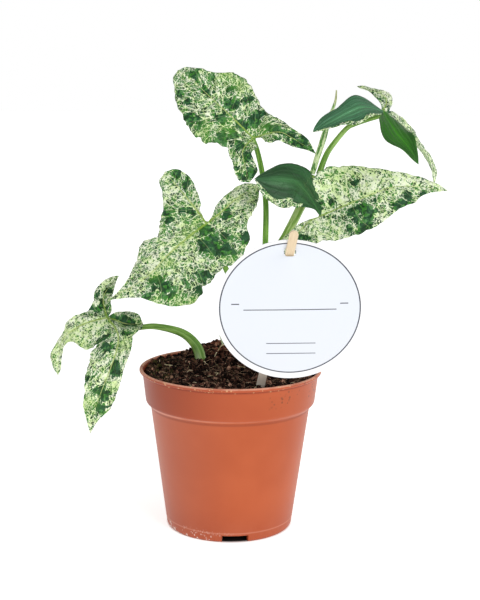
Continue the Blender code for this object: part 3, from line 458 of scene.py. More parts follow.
class Output:
    """A node's output. A sum, difference, product, quotient or abs() of outputs and numbers adds a Math
    node."""

    def __init__(self, tree, socket):
        self.tree, self.socket = tree, socket

    def __add__(self, other):
        return self.tree.maths("ADD", self, other)

    def __mul__(self, other):
        return self.tree.maths("MULTIPLY", self, other)

    def __sub__(self, other):
        return self.tree.maths("SUBTRACT", self, other)

    def __rsub__(self, other):
        return self.tree.maths("SUBTRACT", other, self)

    def __truediv__(self, other):
        return self.tree.maths("DIVIDE", self, other)

    def __abs__(self):
        return self.tree.maths("ABSOLUTE", self)

    __radd__, __rmul__ = __add__, __mul__


class Tree:
    """Short ways to add nodes to a node tree. Each returns the output that the next node reads."""

    def __init__(self, tree):
        self.tree = tree

    def add(self, kind, inputs, output=0, **settings):
        """A node with its settings and inputs, and its output of that number or name, or all by name for
        None."""
        made = self.tree.nodes.new(kind)
        for key, value in settings.items():
            setattr(made, key, value)
        for key, value in inputs.items():
            self.feed(made.inputs[key], value)
        if output is None:
            return {socket.name: Output(self, socket) for socket in made.outputs}
        return Output(self, made.outputs[output])

    def feed(self, socket, value):
        """An output linked to a socket, or a plain value written on it. A colour may be three numbers."""
        if isinstance(value, Output):
            self.tree.links.new(value.socket, socket)
        elif socket.type == "RGBA" and len(value) == 3:
            socket.default_value = (*value, 1)
        else:
            socket.default_value = value

    def maths(self, operation, a, b=0.0):
        """The result of one Math node."""
        return self.add("ShaderNodeMath", {0: a, 1: b}, operation=operation)

    def most(self, first, *others):
        """The largest of the values."""
        for other in others:
            first = self.maths("MAXIMUM", first, other)
        return first

    def ease(self, value, low, high, first=0.0, last=1.0):
        """The value carried smoothly from first at low to last at high."""
        return self.add("ShaderNodeMapRange", {0: value, 1: low, 2: high, 3: first, 4: last},
                        interpolation_type="SMOOTHSTEP")

    def blend(self, share, a, b):
        """The number at that share of the way from a to b."""
        return self.add("ShaderNodeMix", {0: share, 2: a, 3: b}, data_type="FLOAT")

    def mix(self, share, a, b):
        """The colour at that share of the way from a to b."""
        return self.add("ShaderNodeMix", {0: share, 6: a, 7: b}, 2, data_type="RGBA")

    def coats(self, colour, *coats):
        """A colour under coats of paint, laid on in order: where each coat lies, from 0 to 1, and its
        colour."""
        for share, paint in coats:
            colour = self.mix(share, colour, paint)
        return colour

    def stretch(self, vector, scale, shift=(0.0, 0.0, 0.0)):
        """The vector or colour times a scale, plus a shift."""
        return self.add("ShaderNodeVectorMath", {0: vector, 1: scale, 2: shift}, operation="MULTIPLY_ADD")

    def distance(self, vector, point=(0.0, 0.0, 0.0)):
        """How far the vector is from a point."""
        return self.add("ShaderNodeVectorMath", {0: vector, 1: point}, "Value", operation="DISTANCE")

    def noise(self, vector, scale, detail=2.0, roughness=0.5, distortion=0.0, output=0):
        """Smooth noise, about a half on average, or its colour."""
        return self.add("ShaderNodeTexNoise", {"Vector": vector, "Scale": scale, "Detail": detail,
                                               "Roughness": roughness, "Distortion": distortion}, output)

    def voronoi(self, vector, scale, output="Distance", feature="F1"):
        """Random cells: the distance to the nearest cell's middle, or what the output and the feature say."""
        return self.add("ShaderNodeTexVoronoi", {"Vector": vector, "Scale": scale}, output, feature=feature)

    def parts(self, vector):
        """The three numbers of a vector."""
        return self.add("ShaderNodeSeparateXYZ", {0: vector}, None).values()

    def attribute(self, name):
        """The piece's own three numbers at each point."""
        return self.add("ShaderNodeAttribute", {}, "Vector", attribute_name=name)

    def place(self):
        """The place on the piece in metres."""
        return self.add("ShaderNodeTexCoord", {}, "Object")

    def use(self, group, **inputs):
        """The outputs of a node group, by name."""
        return self.add("ShaderNodeGroup", inputs, None, node_tree=group)

    def bump(self, height, strength, distance):
        """The normal of a height map, with its distance in mm."""
        return self.add("ShaderNodeBump", {"Height": height, "Strength": strength, "Distance": distance * MM})


def group(name, inputs, outputs):
    """A new node group with sockets by name and kind: the group, its tree, what it is given, and what it
    feeds."""
    made = bpy.data.node_groups.new(name, "ShaderNodeTree")
    for way, sockets in (("INPUT", inputs), ("OUTPUT", outputs)):
        for key, kind in sockets.items():
            made.interface.new_socket(key, in_out=way, socket_type=f"NodeSocket{kind}")
    tree = Tree(made)
    return made, tree, tree.add("NodeGroupInput", {}, None), made.nodes.new("NodeGroupOutput").inputs


def material(name, roughness, gloss=0.5):
    """A material with one Principled shader: the material, its tree, and the shader's inputs."""
    made = bpy.data.materials.new(name)
    made.use_nodes = True
    shader = made.node_tree.nodes["Principled BSDF"].inputs
    shader["Roughness"].default_value, shader["Specular IOR Level"].default_value = roughness, gloss
    return made, Tree(made.node_tree), shader


def make_grain_group():
    """Fine even tooth, from 0 to 1: noise at the given scale with a quarter of noise four times finer."""
    made, t, given, out = group("fine_grain", {"Place": "Vector", "Scale": "Float"}, {"Tooth": "Float"})
    coarse = t.noise(given["Place"], given["Scale"], 3.0, 0.6)
    fine = t.noise(given["Place"], given["Scale"] * 4.0, 2.0, 0.6)
    t.feed(out["Tooth"], fine * 0.25 + coarse * 0.75)
    return made


def make_specks_group():
    """Small scattered specks: the middles of random cells, kept where a slower noise is over 1 less the
    amount."""
    made, t, given, out = group(
        "scattered_specks", {"Place": "Vector", "Scale": "Float", "Size": "Float", "Amount": "Float"},
        {"Specks": "Float"})
    near = t.ease(given["Size"] - t.voronoi(given["Place"], given["Scale"]), 0.0, 0.08)
    slow = t.noise(given["Place"], given["Scale"] * 0.22, 2.0, 0.6)
    t.feed(out["Specks"], near * t.ease(slow + given["Amount"], 0.95, 1.05))
    return made


def make_mottling_group():
    """Splashed leaf colour, in three layers. Small random cells are green where their own random number is
    under the depth: the cover, the patches and a slow noise. Each green cell keeps a cream border that thins
    as the depth grows. Over them lies a net of cream lines round wider cells, which are drawn out along the
    side veins, or round next to the stalk where the vein directions meet. The lines break up and fade in the
    deep patches. Last come finer dots on the pale parts. So pale parts show fine dots on cream, middling ones
    a cream net, and deep ones nearly plain green. The relief is high in the middle of the wide cells and low
    in the lines."""
    made, t, given, out = group(
        "splashed_leaf", {"Flat": "Vector", "Vein": "Vector", "Reach": "Float", "Depth": "Float",
                          "Bright": "Float"},
        {"Colour": "Color", "Green": "Float", "Relief": "Float"})
    flat = given["Flat"]
    wander = t.noise(flat, 0.45, output="Color")

    def cells(place, scale, stray):
        """Each cell's random number and tone, and the distance to its edge, with cells that stray a
        little."""
        there = t.stretch(wander, (stray, stray, 0.0), t.stretch(place, (*scale, 1.0)))
        chance, tone, _ = t.parts(t.voronoi(there, 1.0, "Color"))
        return chance, tone, t.voronoi(there, 1.0, feature="DISTANCE_TO_EDGE")

    chance, tone, rim = cells(flat, (0.64, 0.60), 1.5)
    dust_chance, _, dust_rim = cells(flat, (1.05, 1.0), 1.2)
    out_from_stalk = t.ease(given["Reach"], 0.02, 0.09)
    wide_chance, wide_tone, wide_rim = (
        t.blend(out_from_stalk, even, drawn)
        for even, drawn in zip(cells(flat, (0.28, 0.28), 0.8), cells(given["Vein"], (0.33, 0.26), 0.8)))
    fleck = t.noise(flat, 1.2, 2.0, 0.6)
    depth = t.noise(flat, 0.17) - 0.5 + given["Depth"]
    solid = t.ease(depth, 1.12, 1.38)
    body = t.ease(depth - (chance * 0.58 + wide_chance * 0.42) + (fleck * 0.5 - 0.25), -0.025, 0.035)
    border = fleck * 0.34 - 0.02 - depth * 0.12 - solid * 0.22
    line = fleck * 0.24 - 0.060 - solid * 0.16
    green = body * t.ease(rim - border, -0.015, 0.025) * t.ease(wide_rim - line, -0.007, 0.010)
    dust = t.ease(depth * 0.16 + (0.14 - dust_chance), -0.02, 0.03)
    dust = dust * t.ease(dust_rim, 0.07, 0.16, 0.0, 0.95) * t.ease(depth, 1.00, 0.80)
    green = t.most(green, dust)
    tint = t.noise(flat, 0.28, 2.0, 0.6)
    cream = t.mix(t.ease(tint, 0.38, 0.60), (0.75, 0.92, 0.46), (0.91, 0.98, 0.73))
    cream = t.mix(given["Bright"] * 0.5, cream, (0.48, 0.72, 0.14))
    deep = t.mix(t.ease(tint, 0.42, 0.58), (0.004, 0.044, 0.007), (0.013, 0.090, 0.026))
    fresh = t.mix(t.ease(tint, 0.40, 0.60), (0.042, 0.225, 0.018), (0.085, 0.260, 0.070))
    shade = tone * 0.55 + wide_tone * 0.45 - solid * 0.28
    leafy = t.coats(deep, (t.ease(shade, 0.32, 0.52), fresh), (given["Bright"] * 0.85, (0.075, 0.290, 0.022)))
    t.feed(out["Colour"], t.coats(cream, (t.ease(green, 0.05, 0.45), t.mix(0.5, leafy, cream)),
                                  (t.ease(green, 0.45, 0.85), leafy)))
    t.feed(out["Green"], green)
    t.feed(out["Relief"], t.ease(wide_rim, 0.0, 0.35))
    return made


def make_streaks_group():
    """Long streaks on a stalk: noise drawn out along it, from 0 to 1, and a finer set for its skin."""
    made, t, given, out = group("stalk_streaks", {"Line": "Vector"}, {"Streaks": "Float", "Skin": "Float"})
    wide = t.noise(t.stretch(given["Line"], (0.75, 0.05, 1.0)), 1.0, 3.0, 0.6, 0.2)
    t.feed(out["Streaks"], t.ease(wide, 0.40, 0.60))
    t.feed(out["Skin"], t.noise(t.stretch(given["Line"], (3.0, 0.12, 1.0)), 1.0, 2.0, 0.6))
    return made


def make_fibre_group():
    """Wood fibre: noise drawn out forty to one along the length, with broader bands under it."""
    made, t, given, out = group("wood_fibre", {"Line": "Vector"}, {"Fibre": "Float", "Bands": "Float"})
    t.feed(out["Fibre"], t.noise(t.stretch(given["Line"], (3.2, 0.08, 3.2)), 1.0, 4.0, 0.7, 0.3))
    t.feed(out["Bands"], t.noise(t.stretch(given["Line"], (0.7, 0.02, 0.7)), 1.0, 2.0, 0.5, 0.5))
    return made


GRAIN, SPECKS, MOTTLING = make_grain_group(), make_specks_group(), make_mottling_group()
STREAKS, FIBRE = make_streaks_group(), make_fibre_group()


def leaf_finish():
    """The blade: splashed colour, or a plain one with long streaks from stalk to tip and a painted highlight
    along its middle, a yellow-green midrib that thins to the tip, a paler underside and a thin darker margin.
    Cream is less glossy than green, and plain lobes are the glossiest."""
    made, t, shader = material("leaf_blade", 0.42, 0.35)
    flat, vein, plain_tone = t.attribute("flat"), t.attribute("vein"), t.attribute("plain")
    off, phase, share = t.parts(t.attribute("rib"))
    depth, bright, plainness = t.parts(t.attribute("tone"))
    outward, under, rib_width = t.parts(t.attribute("form"))
    _, _, seed = t.parts(flat)
    inner = share * (t.ease(outward, 0.92, 0.80) * t.ease(share, 0.86, 0.72))
    splash = t.use(MOTTLING, Flat=flat, Vein=vein, Reach=inner, Depth=depth, Bright=bright)
    streak = t.noise(t.stretch(vein, (0.55, 0.12, 1.0)), 1.0, 3.0, 0.6, 0.4)
    plain = t.ease(streak * 0.3 + (plainness - 0.15), 0.45, 0.55)
    lane = t.add("ShaderNodeCombineXYZ", {0: share * 1.6, 1: outward * 5.5, 2: seed})
    long_streak = t.noise(t.stretch(vein, (0.0, 0.05, 0.0), lane), 1.0, 3.0, 0.55, 0.2)
    plain_colour = t.mix(t.ease(long_streak, 0.36, 0.64), t.stretch(plain_tone, (0.56, 0.64, 0.56)),
                         t.stretch(plain_tone, (1.35, 1.25, 1.35)))
    # Painted highlight: a plain lobe is painted lighter, up to twice, along its middle.
    painted_sheen = t.ease(outward, 0.50, 0.05) * t.ease(share, 0.05, 0.4) * t.ease(share, 0.95, 0.65)
    plain_colour = t.mix(painted_sheen, plain_colour, t.stretch(plain_colour, (2.0, 1.75, 1.8)))
    side_vein = t.ease(abs(t.maths("FRACT", phase) - 0.5), 0.468, 0.497) * t.ease(off, 0.5, 2.5)
    width = rib_width * t.ease(share, 0.0, 1.0, 1.0, 0.16)
    ragged = t.noise(flat, 0.9) * 0.9 - 0.45
    midrib = t.ease(off / width + ragged, 0.70, 1.25, 1.0, 0.0)
    splashed_rib = t.mix(t.ease(share, 0.0, 0.5), (0.30, 0.48, 0.05), (0.56, 0.68, 0.24))
    colour = t.coats(
        splash["Colour"], (side_vein * 0.25, (0.62, 0.74, 0.34)), (plain, plain_colour),
        (midrib * t.blend(plain, 0.80, 0.55),
         t.mix(plain, splashed_rib, t.stretch(plain_tone, (2.6, 2.2, 2.0)))),
        (t.ease(outward, 0.972, 1.0) * 0.35, (0.10, 0.18, 0.05)))
    t.feed(shader["Base Color"], t.mix(under, colour, t.mix(0.5, colour, (0.36, 0.50, 0.27))))
    gloss = t.blend(plain, t.blend(splash["Green"], 0.52, 0.40), 0.33)
    t.feed(shader["Roughness"], t.blend(under, gloss, 0.6))
    cobbled = (splash["Green"] * 0.35 + splash["Relief"]) * t.blend(plain, 1.9, 0.0)
    skin = t.noise(flat, 1.3, 3.0, 0.6) + streak * t.blend(plain, 0.8, 0.4)
    t.feed(shader["Normal"], t.bump(skin - side_vein * 0.5 + cobbled, 0.7, 0.38))
    return made


def stem_finish():
    """The stalks: green and pale yellow-green in long streaks, cream where the tint says, with a faint
    skin."""
    made, t, shader = material("plant_stalk", 0.40, 0.32)
    streaks = t.use(STREAKS, Line=t.attribute("line"))
    green, cream, ring = t.parts(t.attribute("tint"))
    pale = t.mix(streaks["Streaks"], (0.54, 0.68, 0.28), (0.24, 0.42, 0.07))
    fresh = t.mix(streaks["Streaks"], (0.165, 0.40, 0.024), (0.052, 0.19, 0.012))
    t.feed(shader["Base Color"],
           t.coats(pale, (green, fresh), (cream, (0.78, 0.84, 0.60)), (ring, (0.16, 0.14, 0.05))))
    t.feed(shader["Normal"], t.bump(streaks["Skin"], 0.4, 0.3))
    return made


def new_leaf_finish():
    """The rolled leaf: cream with long deep green flecks, and a browner tip."""
    made, t, shader = material("rolled_leaf", 0.4)
    line = t.attribute("line")
    _, up, _ = t.parts(line)
    flecks = t.noise(t.stretch(line, (0.55, 0.16, 1.0)), 1.0, 3.0, 0.65, 0.3)
    t.feed(shader["Base Color"], t.coats((0.62, 0.76, 0.40), (t.ease(flecks, 0.50, 0.55), (0.10, 0.28, 0.05)),
                                         (t.ease(up, 44.0, 52.0, 0.0, 0.5), (0.40, 0.30, 0.12))))
    t.feed(shader["Normal"], t.bump(t.use(STREAKS, Line=line)["Skin"], 0.4, 0.3))
    return made


def pot_finish():
    """Terracotta-coloured moulded plastic: slow drifts of tone, a rubbed lip with a painted highlight and a
    few pale chips, a painted highlight line on the step under the collar with painted shade in the crease
    below it and under the lip, a painted pale reflection on the body's left side and painted shade on the
    collar's left, painted shade darkening the body towards the bottom, white scuffs low down at the left, and
    dirt specks on the right of the collar. Where each coat lies is worked out from the height and the place
    across in mm."""
    made, t, shader = material("pot_plastic", 0.42, 0.32)
    place = t.place()
    across, _, height = t.parts(t.stretch(place, (1 / MM, 1 / MM, 1 / MM)))

    def band(middle, half):
        """A soft line round the pot: 1 within 0.3 of its half width, 0 beyond its half width."""
        return t.ease(abs(height - middle), half, 0.3 * half)

    def specks(where, scale, size, amount):
        """Scattered specks at the places given."""
        return t.use(SPECKS, Place=where, Scale=scale, Size=size, Amount=amount)["Specks"]

    collar, left_light_and_shade = t.ease(height, 82.5, 84.5), t.ease(across, 10, -55)
    foot = t.ease(height, 20, 0) * t.ease(t.noise(place, 90.0, 4.0, 0.65), 0.35, 0.70)
    # Painted highlight and rubbing: a broken pale line along the lip's top.
    rub_and_highlight = t.ease(height, 104.6, 105.6) * t.ease(t.noise(place, 130.0, 3.0, 0.6), 0.30, 0.58, 0.45, 1.0)
    # Painted highlight: a pale line on the step under the collar, stronger to the left.
    step = band(83.1, 1.0) * t.ease(t.noise(place, 60.0), 0.30, 0.60, 0.4, 1.0)
    wear_and_highlight = t.most(rub_and_highlight * 0.72, step * t.ease(across, 35, -45, 0.10, 0.42), band(6.1, 0.7) * 0.22)
    chips = specks(place, 520.0, 0.36, 0.50) * t.ease(height, 102, 103)
    scuffs = specks(t.stretch(place, (1.0, 1.0, 0.7)), 700.0, 0.40, 0.50) * t.ease(height, 9, 1)
    smudge = t.ease(t.noise(place, 170.0, 3.0, 0.6), 0.60, 0.74)
    dirt = t.most(specks(place, 400.0, 0.36, 0.46) * 0.60, smudge * 0.45) * t.ease(height, 86, 94)
    t.feed(shader["Base Color"], t.coats(
        t.mix(t.ease(t.noise(place, 20.0, 3.0, 0.55), 0.35, 0.65), (0.435, 0.081, 0.020),
              (0.475, 0.095, 0.026)),
        # Painted reflection: the body's left side is painted paler and pinker.
        (left_light_and_shade * t.blend(collar, 0.35, 0.0), (0.43, 0.145, 0.100)),
        # Painted shade: the collar is painted darker towards its left.
        (left_light_and_shade * t.blend(collar, 0.0, 0.78), (0.22, 0.030, 0.008)),
        (collar * t.ease(across, 40, -10, 0.0, 0.28), (0.36, 0.055, 0.018)),
        (foot * 0.22, (0.60, 0.20, 0.11)),
        # Painted shade: the body is painted darker towards the bottom.
        (t.ease(height, 30, 2, 0.0, 0.40), (0.30, 0.050, 0.016)),
        (t.ease(height, 100.5, 103.5) * 0.30, (0.42, 0.055, 0.014)),
        # Painted shade: dark bands in the crease under the step and under the lip.
        (t.most(band(80.9, 1.4) * 0.42, band(102.8, 0.9) * 0.55), (0.20, 0.030, 0.010)),
        # Painted highlight and wear: the pale lines on the lip, the step and near the foot.
        (wear_and_highlight, (0.78, 0.40, 0.28)),
        (chips * 0.5, (0.80, 0.58, 0.28)),
        (scuffs * t.ease(across, 15, -35), (0.80, 0.66, 0.58)),
        (dirt * t.ease(across, 18, 32), (0.12, 0.040, 0.014))))
    tooth = t.use(GRAIN, Place=place, Scale=700.0)["Tooth"]
    t.feed(shader["Roughness"], t.blend(t.most(foot, rub_and_highlight), t.blend(tooth, 0.36, 0.46), 0.55))
    t.feed(shader["Normal"], t.bump(tooth, 0.25, 0.06))
    return made


def soil_finish(name, dark, middle, light):
    """Peat: three browns by noise and by each crumb's own number, greener at the left wall, redder on the
    heap, with painted shade that makes noise-placed small hollows nearly black while the colour outside them
    is lifted, and with nearly no gloss."""
    made, t, shader = material(name, 0.95, 0.06)
    place = t.place()
    own, _, _ = t.parts(t.attribute("crumb"))
    across, _, _ = t.parts(place)
    blots = t.noise(place, 420.0, 4.0, 0.75) + own * 0.22
    drift = t.ease(t.noise(place, 60.0), 0.35, 0.62, 0.35, 1.0)
    mossy = t.ease(across, -0.028, -0.050) * t.ease(t.noise(place, 190.0), 0.50, 0.62)
    warm = t.ease(t.distance(place, (MOUND_X, MOUND_Y - 4 * MM, 118 * MM)), 0.017, 0.005, 0.0, 0.40)
    colour = t.coats(dark, (t.ease(blots, 0.44, 0.58), middle), (t.ease(blots, 0.60, 0.70) * drift, light),
                     (mossy * 0.42, (0.060, 0.068, 0.016)),
                     (warm * t.ease(blots, 0.44, 0.56), (0.16, 0.050, 0.026)))
    # Painted shade: noise-placed hollows nearly black, and the colour elsewhere made 1.8 times lighter.
    hollow_shade = t.ease(t.noise(place, 130.0, 3.0, 0.6), 0.54, 0.42, 0.0, 0.75)
    t.feed(shader["Base Color"],
           t.mix(hollow_shade, t.stretch(colour, (1.8, 1.7, 1.7)), t.stretch(colour, (0.16, 0.15, 0.16))))
    t.feed(shader["Normal"], t.bump(t.use(GRAIN, Place=place, Scale=900.0)["Tooth"], 0.9, 0.6))
    return made


def fibre_finish(name, colour_a, colour_b):
    """Dry fibres and twigs: two tones by noise."""
    made, t, shader = material(name, 0.8)
    t.feed(shader["Base Color"], t.mix(t.ease(t.noise(t.place(), 300.0), 0.4, 0.6), colour_a, colour_b))
    return made


def card_finish():
    """White coated card with a printed ring round a faintly blue field, two short dashes, three ruled lines
    to write on, and painted shadow down the slot's sides. The print and the painted shadow are worked out
    from the place on the card in mm from its centre."""
    made, t, shader = material("label_card_print", 0.34)
    spot = t.attribute("print")
    x, z, face = t.parts(spot)
    away = t.distance(t.stretch(spot, (1.0, 1.0, 0.0), (0.0, -1.0, 0.0)))
    ink_and_slot_shadow = t.ease(abs(away - RING_RADIUS), 0.33, 0.46, 1.0, 0.0)
    # The last two bars are painted shadow down the slot's sides; the rest are print.
    for bar_x, half, bar_z, thick in BARS:
        outside = t.most(abs(x - bar_x) - half, abs(z - bar_z) - thick)
        ink_and_slot_shadow = t.most(ink_and_slot_shadow, t.ease(outside, -0.05, 0.05, 1.0, 0.0))
    field = t.ease(away, RING_RADIUS - 0.2, RING_RADIUS + 0.1, 1.0, 0.0)
    tooth = t.use(GRAIN, Place=spot, Scale=2.2)["Tooth"]
    t.feed(shader["Base Color"], t.coats(
        (0.86, 0.865, 0.875), (t.ease(tooth, 0.35, 0.65), (0.88, 0.885, 0.895)),
        (field * face, (0.725, 0.760, 0.815)), (ink_and_slot_shadow * face, (0.055, 0.060, 0.085))))
    t.feed(shader["Roughness"], t.blend(tooth, 0.30, 0.42))
    t.feed(shader["Normal"], t.bump(tooth, 0.15, 0.05))
    return made


def stick_finish():
    """Pale birch: fine fibre lines along it, and a foot painted paler, as painted light where it lies in the
    card's shadow.
    """
    made, t, shader = material("label_stick_wood", 0.62)
    line = t.attribute("line")
    wood = t.use(FIBRE, Line=line)
    _, up, _ = t.parts(line)
    colour = t.coats((0.74, 0.60, 0.40), (t.ease(wood["Bands"], 0.35, 0.65), (0.82, 0.70, 0.50)),
                     (t.ease(wood["Fibre"], 0.42, 0.60) * 0.45, (0.54, 0.37, 0.22)))
    # Painted light: the foot is painted nearly white, where the card's shadow falls on it.
    t.feed(shader["Base Color"],
           t.mix(t.ease(up, 30.0, -50.0, 0.0, 0.92), colour, t.mix(0.20, (0.95, 0.90, 0.82), colour)))
    t.feed(shader["Normal"], t.bump(wood["Fibre"], 0.5, 0.15))
    return made


LEAF, STALK, ROLLED, PLASTIC = leaf_finish(), stem_finish(), new_leaf_finish(), pot_finish()
PEAT = soil_finish("peat", (0.003, 0.002, 0.002), (0.020, 0.010, 0.008), (0.10, 0.052, 0.036))
CRUMB = soil_finish("peat_crumbs", (0.007, 0.004, 0.0035), (0.075, 0.034, 0.023), (0.40, 0.24, 0.17))
STRAW = fibre_finish("straw_fibres", (0.46, 0.34, 0.18), (0.80, 0.68, 0.46))
COIR = fibre_finish("coir_fibres", (0.12, 0.060, 0.034), (0.46, 0.30, 0.19))
CARD, WOOD = card_finish(), stick_finish()


# The leaves

class Lobe:
    """A lobe's rib in space, with the directions across it and out of its upper face."""

    def __init__(self, base, facing, spec):
        self.path = smooth_path(np.array([base, *spec["rib"]], float) * MM, RIB_READINGS)
        self.length = float(distance_run(self.path)[-1])
        self.run = np.linspace(0, self.length, len(self.path))
        self.along = unit(np.gradient(self.path, axis=0))
        share = (self.run / self.length)[:, None]
        face = unit(facing) * (1 - share) + unit(spec["facing"]) * share
        self.up = unit(face - (face * self.along).sum(1, keepdims=True) * self.along)
        self.left = np.cross(self.up, self.along)
        self.fold = math.radians(spec["fold"])
        self.width = max(across for _, across in spec["left"] + spec["right"]) * MM
        self.veins = round(self.length / VEIN_GAP)

    def at(self, table, s):
        """The table's row s along the rib."""
        s = np.clip(s, 0, self.length)
        return np.stack([np.interp(s, self.run, column) for column in table.T], axis=-1)

    def place(self, s, d):
        """The point s along the rib and d to its left: the rib's point, plus d cos(fold) sideways and |d|
        sin(fold) - 0.1 d^2 / width upwards, where the fold grows from 0 over the first third of the rib."""
        beyond = s - np.clip(s, 0, self.length)
        centre = self.at(self.path, s) + beyond[..., None] * self.at(self.along, s)
        fold = self.fold * eased(s, 0, 0.35 * self.length)
        lift = np.abs(d) * np.sin(fold) - 0.10 * d * d / self.width
        aside = (d * np.cos(fold))[..., None] * self.at(self.left, s)
        return centre + aside + lift[..., None] * self.at(self.up, s)


def half_margin(leaf, lobes, angles, i, side):
    """The margin on one side of a lobe, as distances along the rib and out from it: a smooth curve from the
    notch shared with the neighbour, or from the stalk, through the widths to the tip. It is drawn in by 0.036
    plus 0.034 and 0.030 of lumps of two sizes, less on a plain lobe."""
    lobe, spec, other = lobes[i], leaf["lobes"][i], i + side
    notch = (0, 0)
    if 0 <= other < len(lobes):
        reach, share = leaf["notches"][min(i, other)]
        turn = abs(angles[other] - angles[i]) * (share if side > 0 else 1 - share)
        notch = (reach * math.cos(turn) * MM, reach * math.sin(turn) * MM)
    widths = [(at * lobe.length, width * MM) for at, width in spec["left" if side > 0 else "right"]]
    margin = smooth_path([notch, *widths, (lobe.length, 0)], RIB_STEPS + 1)
    u = np.linspace(0, 1, RIB_STEPS + 1)
    there, row = u * lobe.length / MM, 0 * u + 40.0 * i + 17.0 * side
    ripple = 0.036 + 0.034 * lumps(there, row, 3.4, leaf["seed"]) + 0.030 * lumps(there, row, 1.7, 5)
    margin[:, 1] *= 1 - ripple * eased(u, 0, 0.1) * (0.35 if "plain" in spec else 1.0)
    return margin


def half_table(leaf, lobes, angles, i, side):
    """The points on one side of a lobe, in rows from the stalk to the tip and columns from the rib to the
    margin: the point at rib share u and cross share t lies t of the way from the rib at u to the margin at u.
    Each has its distance and turn about the stalk, u, t, its distances along and across the rib in mm and how
    many side veins lie before it, both with u drawn back by 0.15 t^1.3 as the side veins are, its wave from
    -1 to 1, and the lobe's number."""
    lobe, margin = lobes[i], half_margin(leaf, lobes, angles, i, side)
    u, t = np.linspace(0, 1, RIB_STEPS + 1)[:, None], np.linspace(0, 1, CROSS_STEPS + 1) ** 1.4
    s = lobe.length * u + (margin[:, :1] - lobe.length * u) * t
    d = margin[:, 1:] * t
    back = u - 0.15 * t**1.3
    wave = t**2 * (np.sin(math.pi * u) * np.sin(9 * u + 2.1 * i + side))
    return columns(np.hypot(s, d), angles[i] + side * np.arctan2(d, s), u, t, back * lobe.length / MM,
                   side * d / MM, lobe.veins * back, wave, i)


def flat_blade(leaf, lobes, angles):
    """The table of the whole leaf's points and its three-cornered faces. A lobe's two sides share its rib,
    and neighbouring lobes share the line from the stalk to the notch between them."""
    blocks, faces, shared = [], [], {}

    def numbered(table):
        """The numbers that the points get in the whole table."""
        start = sum(len(block) for block in blocks)
        blocks.append(table.reshape(-1, table.shape[-1]))
        return start + np.arange(len(blocks[-1])).reshape(table.shape[:-1])

    halves = {(i, side): half_table(leaf, lobes, angles, i, side)
              for i in range(len(lobes)) for side in (-1, 1)}
    stalk = numbered(np.zeros((1, 9)))
    ribs = [np.append(stalk, numbered(halves[i, 1][1:, 0])) for i in range(len(lobes))]
    for (i, side), table in halves.items():
        grid = np.zeros(table.shape[:2], int)
        grid[:, 0], grid[-1] = ribs[i], ribs[i][-1]
        if 0 <= i + side < len(lobes):
            gap = min(i, i + side)
            if gap not in shared:
                shared[gap] = np.append(stalk, numbered(table[0, 1:]))
            grid[0] = shared[gap]
        grid[1:-1, 1:] = numbered(table[1:-1, 1:])
        a, b, c, d = grid[:-1, :-1], grid[1:, :-1], grid[1:, 1:], grid[:-1, 1:]
        two = np.concatenate([columns(a, b, c).reshape(-1, 3), columns(a, c, d).reshape(-1, 3)])
        faces.append(two if side > 0 else two[:, ::-1])
    faces = np.concatenate(faces)
    return np.concatenate(blocks), faces[(faces != np.roll(faces, 1, axis=1)).all(axis=1)]


def lobe_shares(angle, angles):
    """How far each point belongs to each lobe: 1 on the lobe's own rib, easing to 0 at its neighbour's."""
    shares = np.ones((len(angles), len(angle)))
    for i in range(len(angles)):
        for other in (i - 1, i + 1):
            if 0 <= other < len(angles):
                shares[i] *= 1 - eased((angle - angles[i]) / (angles[other] - angles[i]))
    return shares


def spot_mask(spots, x, y):
    """The highest of the spots at each point: 1 in the middle, a half at the spot's radius, 0 far off. Their
    outlines wander, because each point is first moved by smooth random steps."""
    mask = np.zeros(len(x))
    x, y = x + 2.2 * lumps(x, y, 5.0, 31) + 1.0 * lumps(x, y, 2.2, 32), y + 2.2 * lumps(x, y, 5.0, 33)
    for cx, cy, radius in spots:
        mask = np.maximum(mask, 0.5 ** (((x - cx)**2 + (y - cy)**2) / radius**2))
    return mask


def lobe_paint(leaf, number, u, t, p):
    """From each point's lobe: how plain it is, its plain green, and the cover on a plain lobe's splashed
    bands. A band lies outside the cross share far + 0.08 sin(19 u)."""
    plain, banded, green = 0 * u, 0 * u, np.zeros((len(u), 3))
    for i, spec in enumerate(leaf["lobes"]):
        own = 1.0 * (number == i)
        plain += own * ("plain" in spec)
        green += own[:, None] * spec.get("plain", (0.02, 0.08, 0.03))
        for side, far, first, last, cover in spec.get("splashed", ()):
            band = own * eased((t - far - 0.08 * np.sin(19 * u)) / 0.12) * (side * p > 0)
            band = band * eased(u, first, first + 0.1) * eased(u, last, last - 0.1)
            plain, banded = plain - band, banded + cover * band
    return plain, green, banded


def quilting(leaf, x, y, u, t, off, phase, plain):
    """The blade's relief in mm: it rises between the side veins by (1 - cos of the vein count) / 2, and by
    lumps of two sizes. A plain lobe has a quarter of that and two creases on each side. A groove runs along
    each midrib."""
    relief = 0.42 * (1 - np.cos(TURN * phase)) / 2 * eased(off, 0.5, 5) * (1 - t**4) * eased(u, 0, 0.08)
    relief = relief + eased(off, 0, 4) * (0.66 * lumps(x, y, 6.5, leaf["seed"]) + 0.40 * lumps(x, y, 3.1, 9))
    creases = 0.42 * hump(t, 0.34, 0.09) + 0.36 * hump(t, 0.66, 0.09)
    relief = relief * (1 - 0.75 * plain) - plain * creases * eased(u, 0.03, 0.3) * eased(u, 0.98, 0.75)
    return relief - 0.45 * hump(off, 0, 1.0) * (1 - u)**0.5 * eased(u, 0, 0.03)


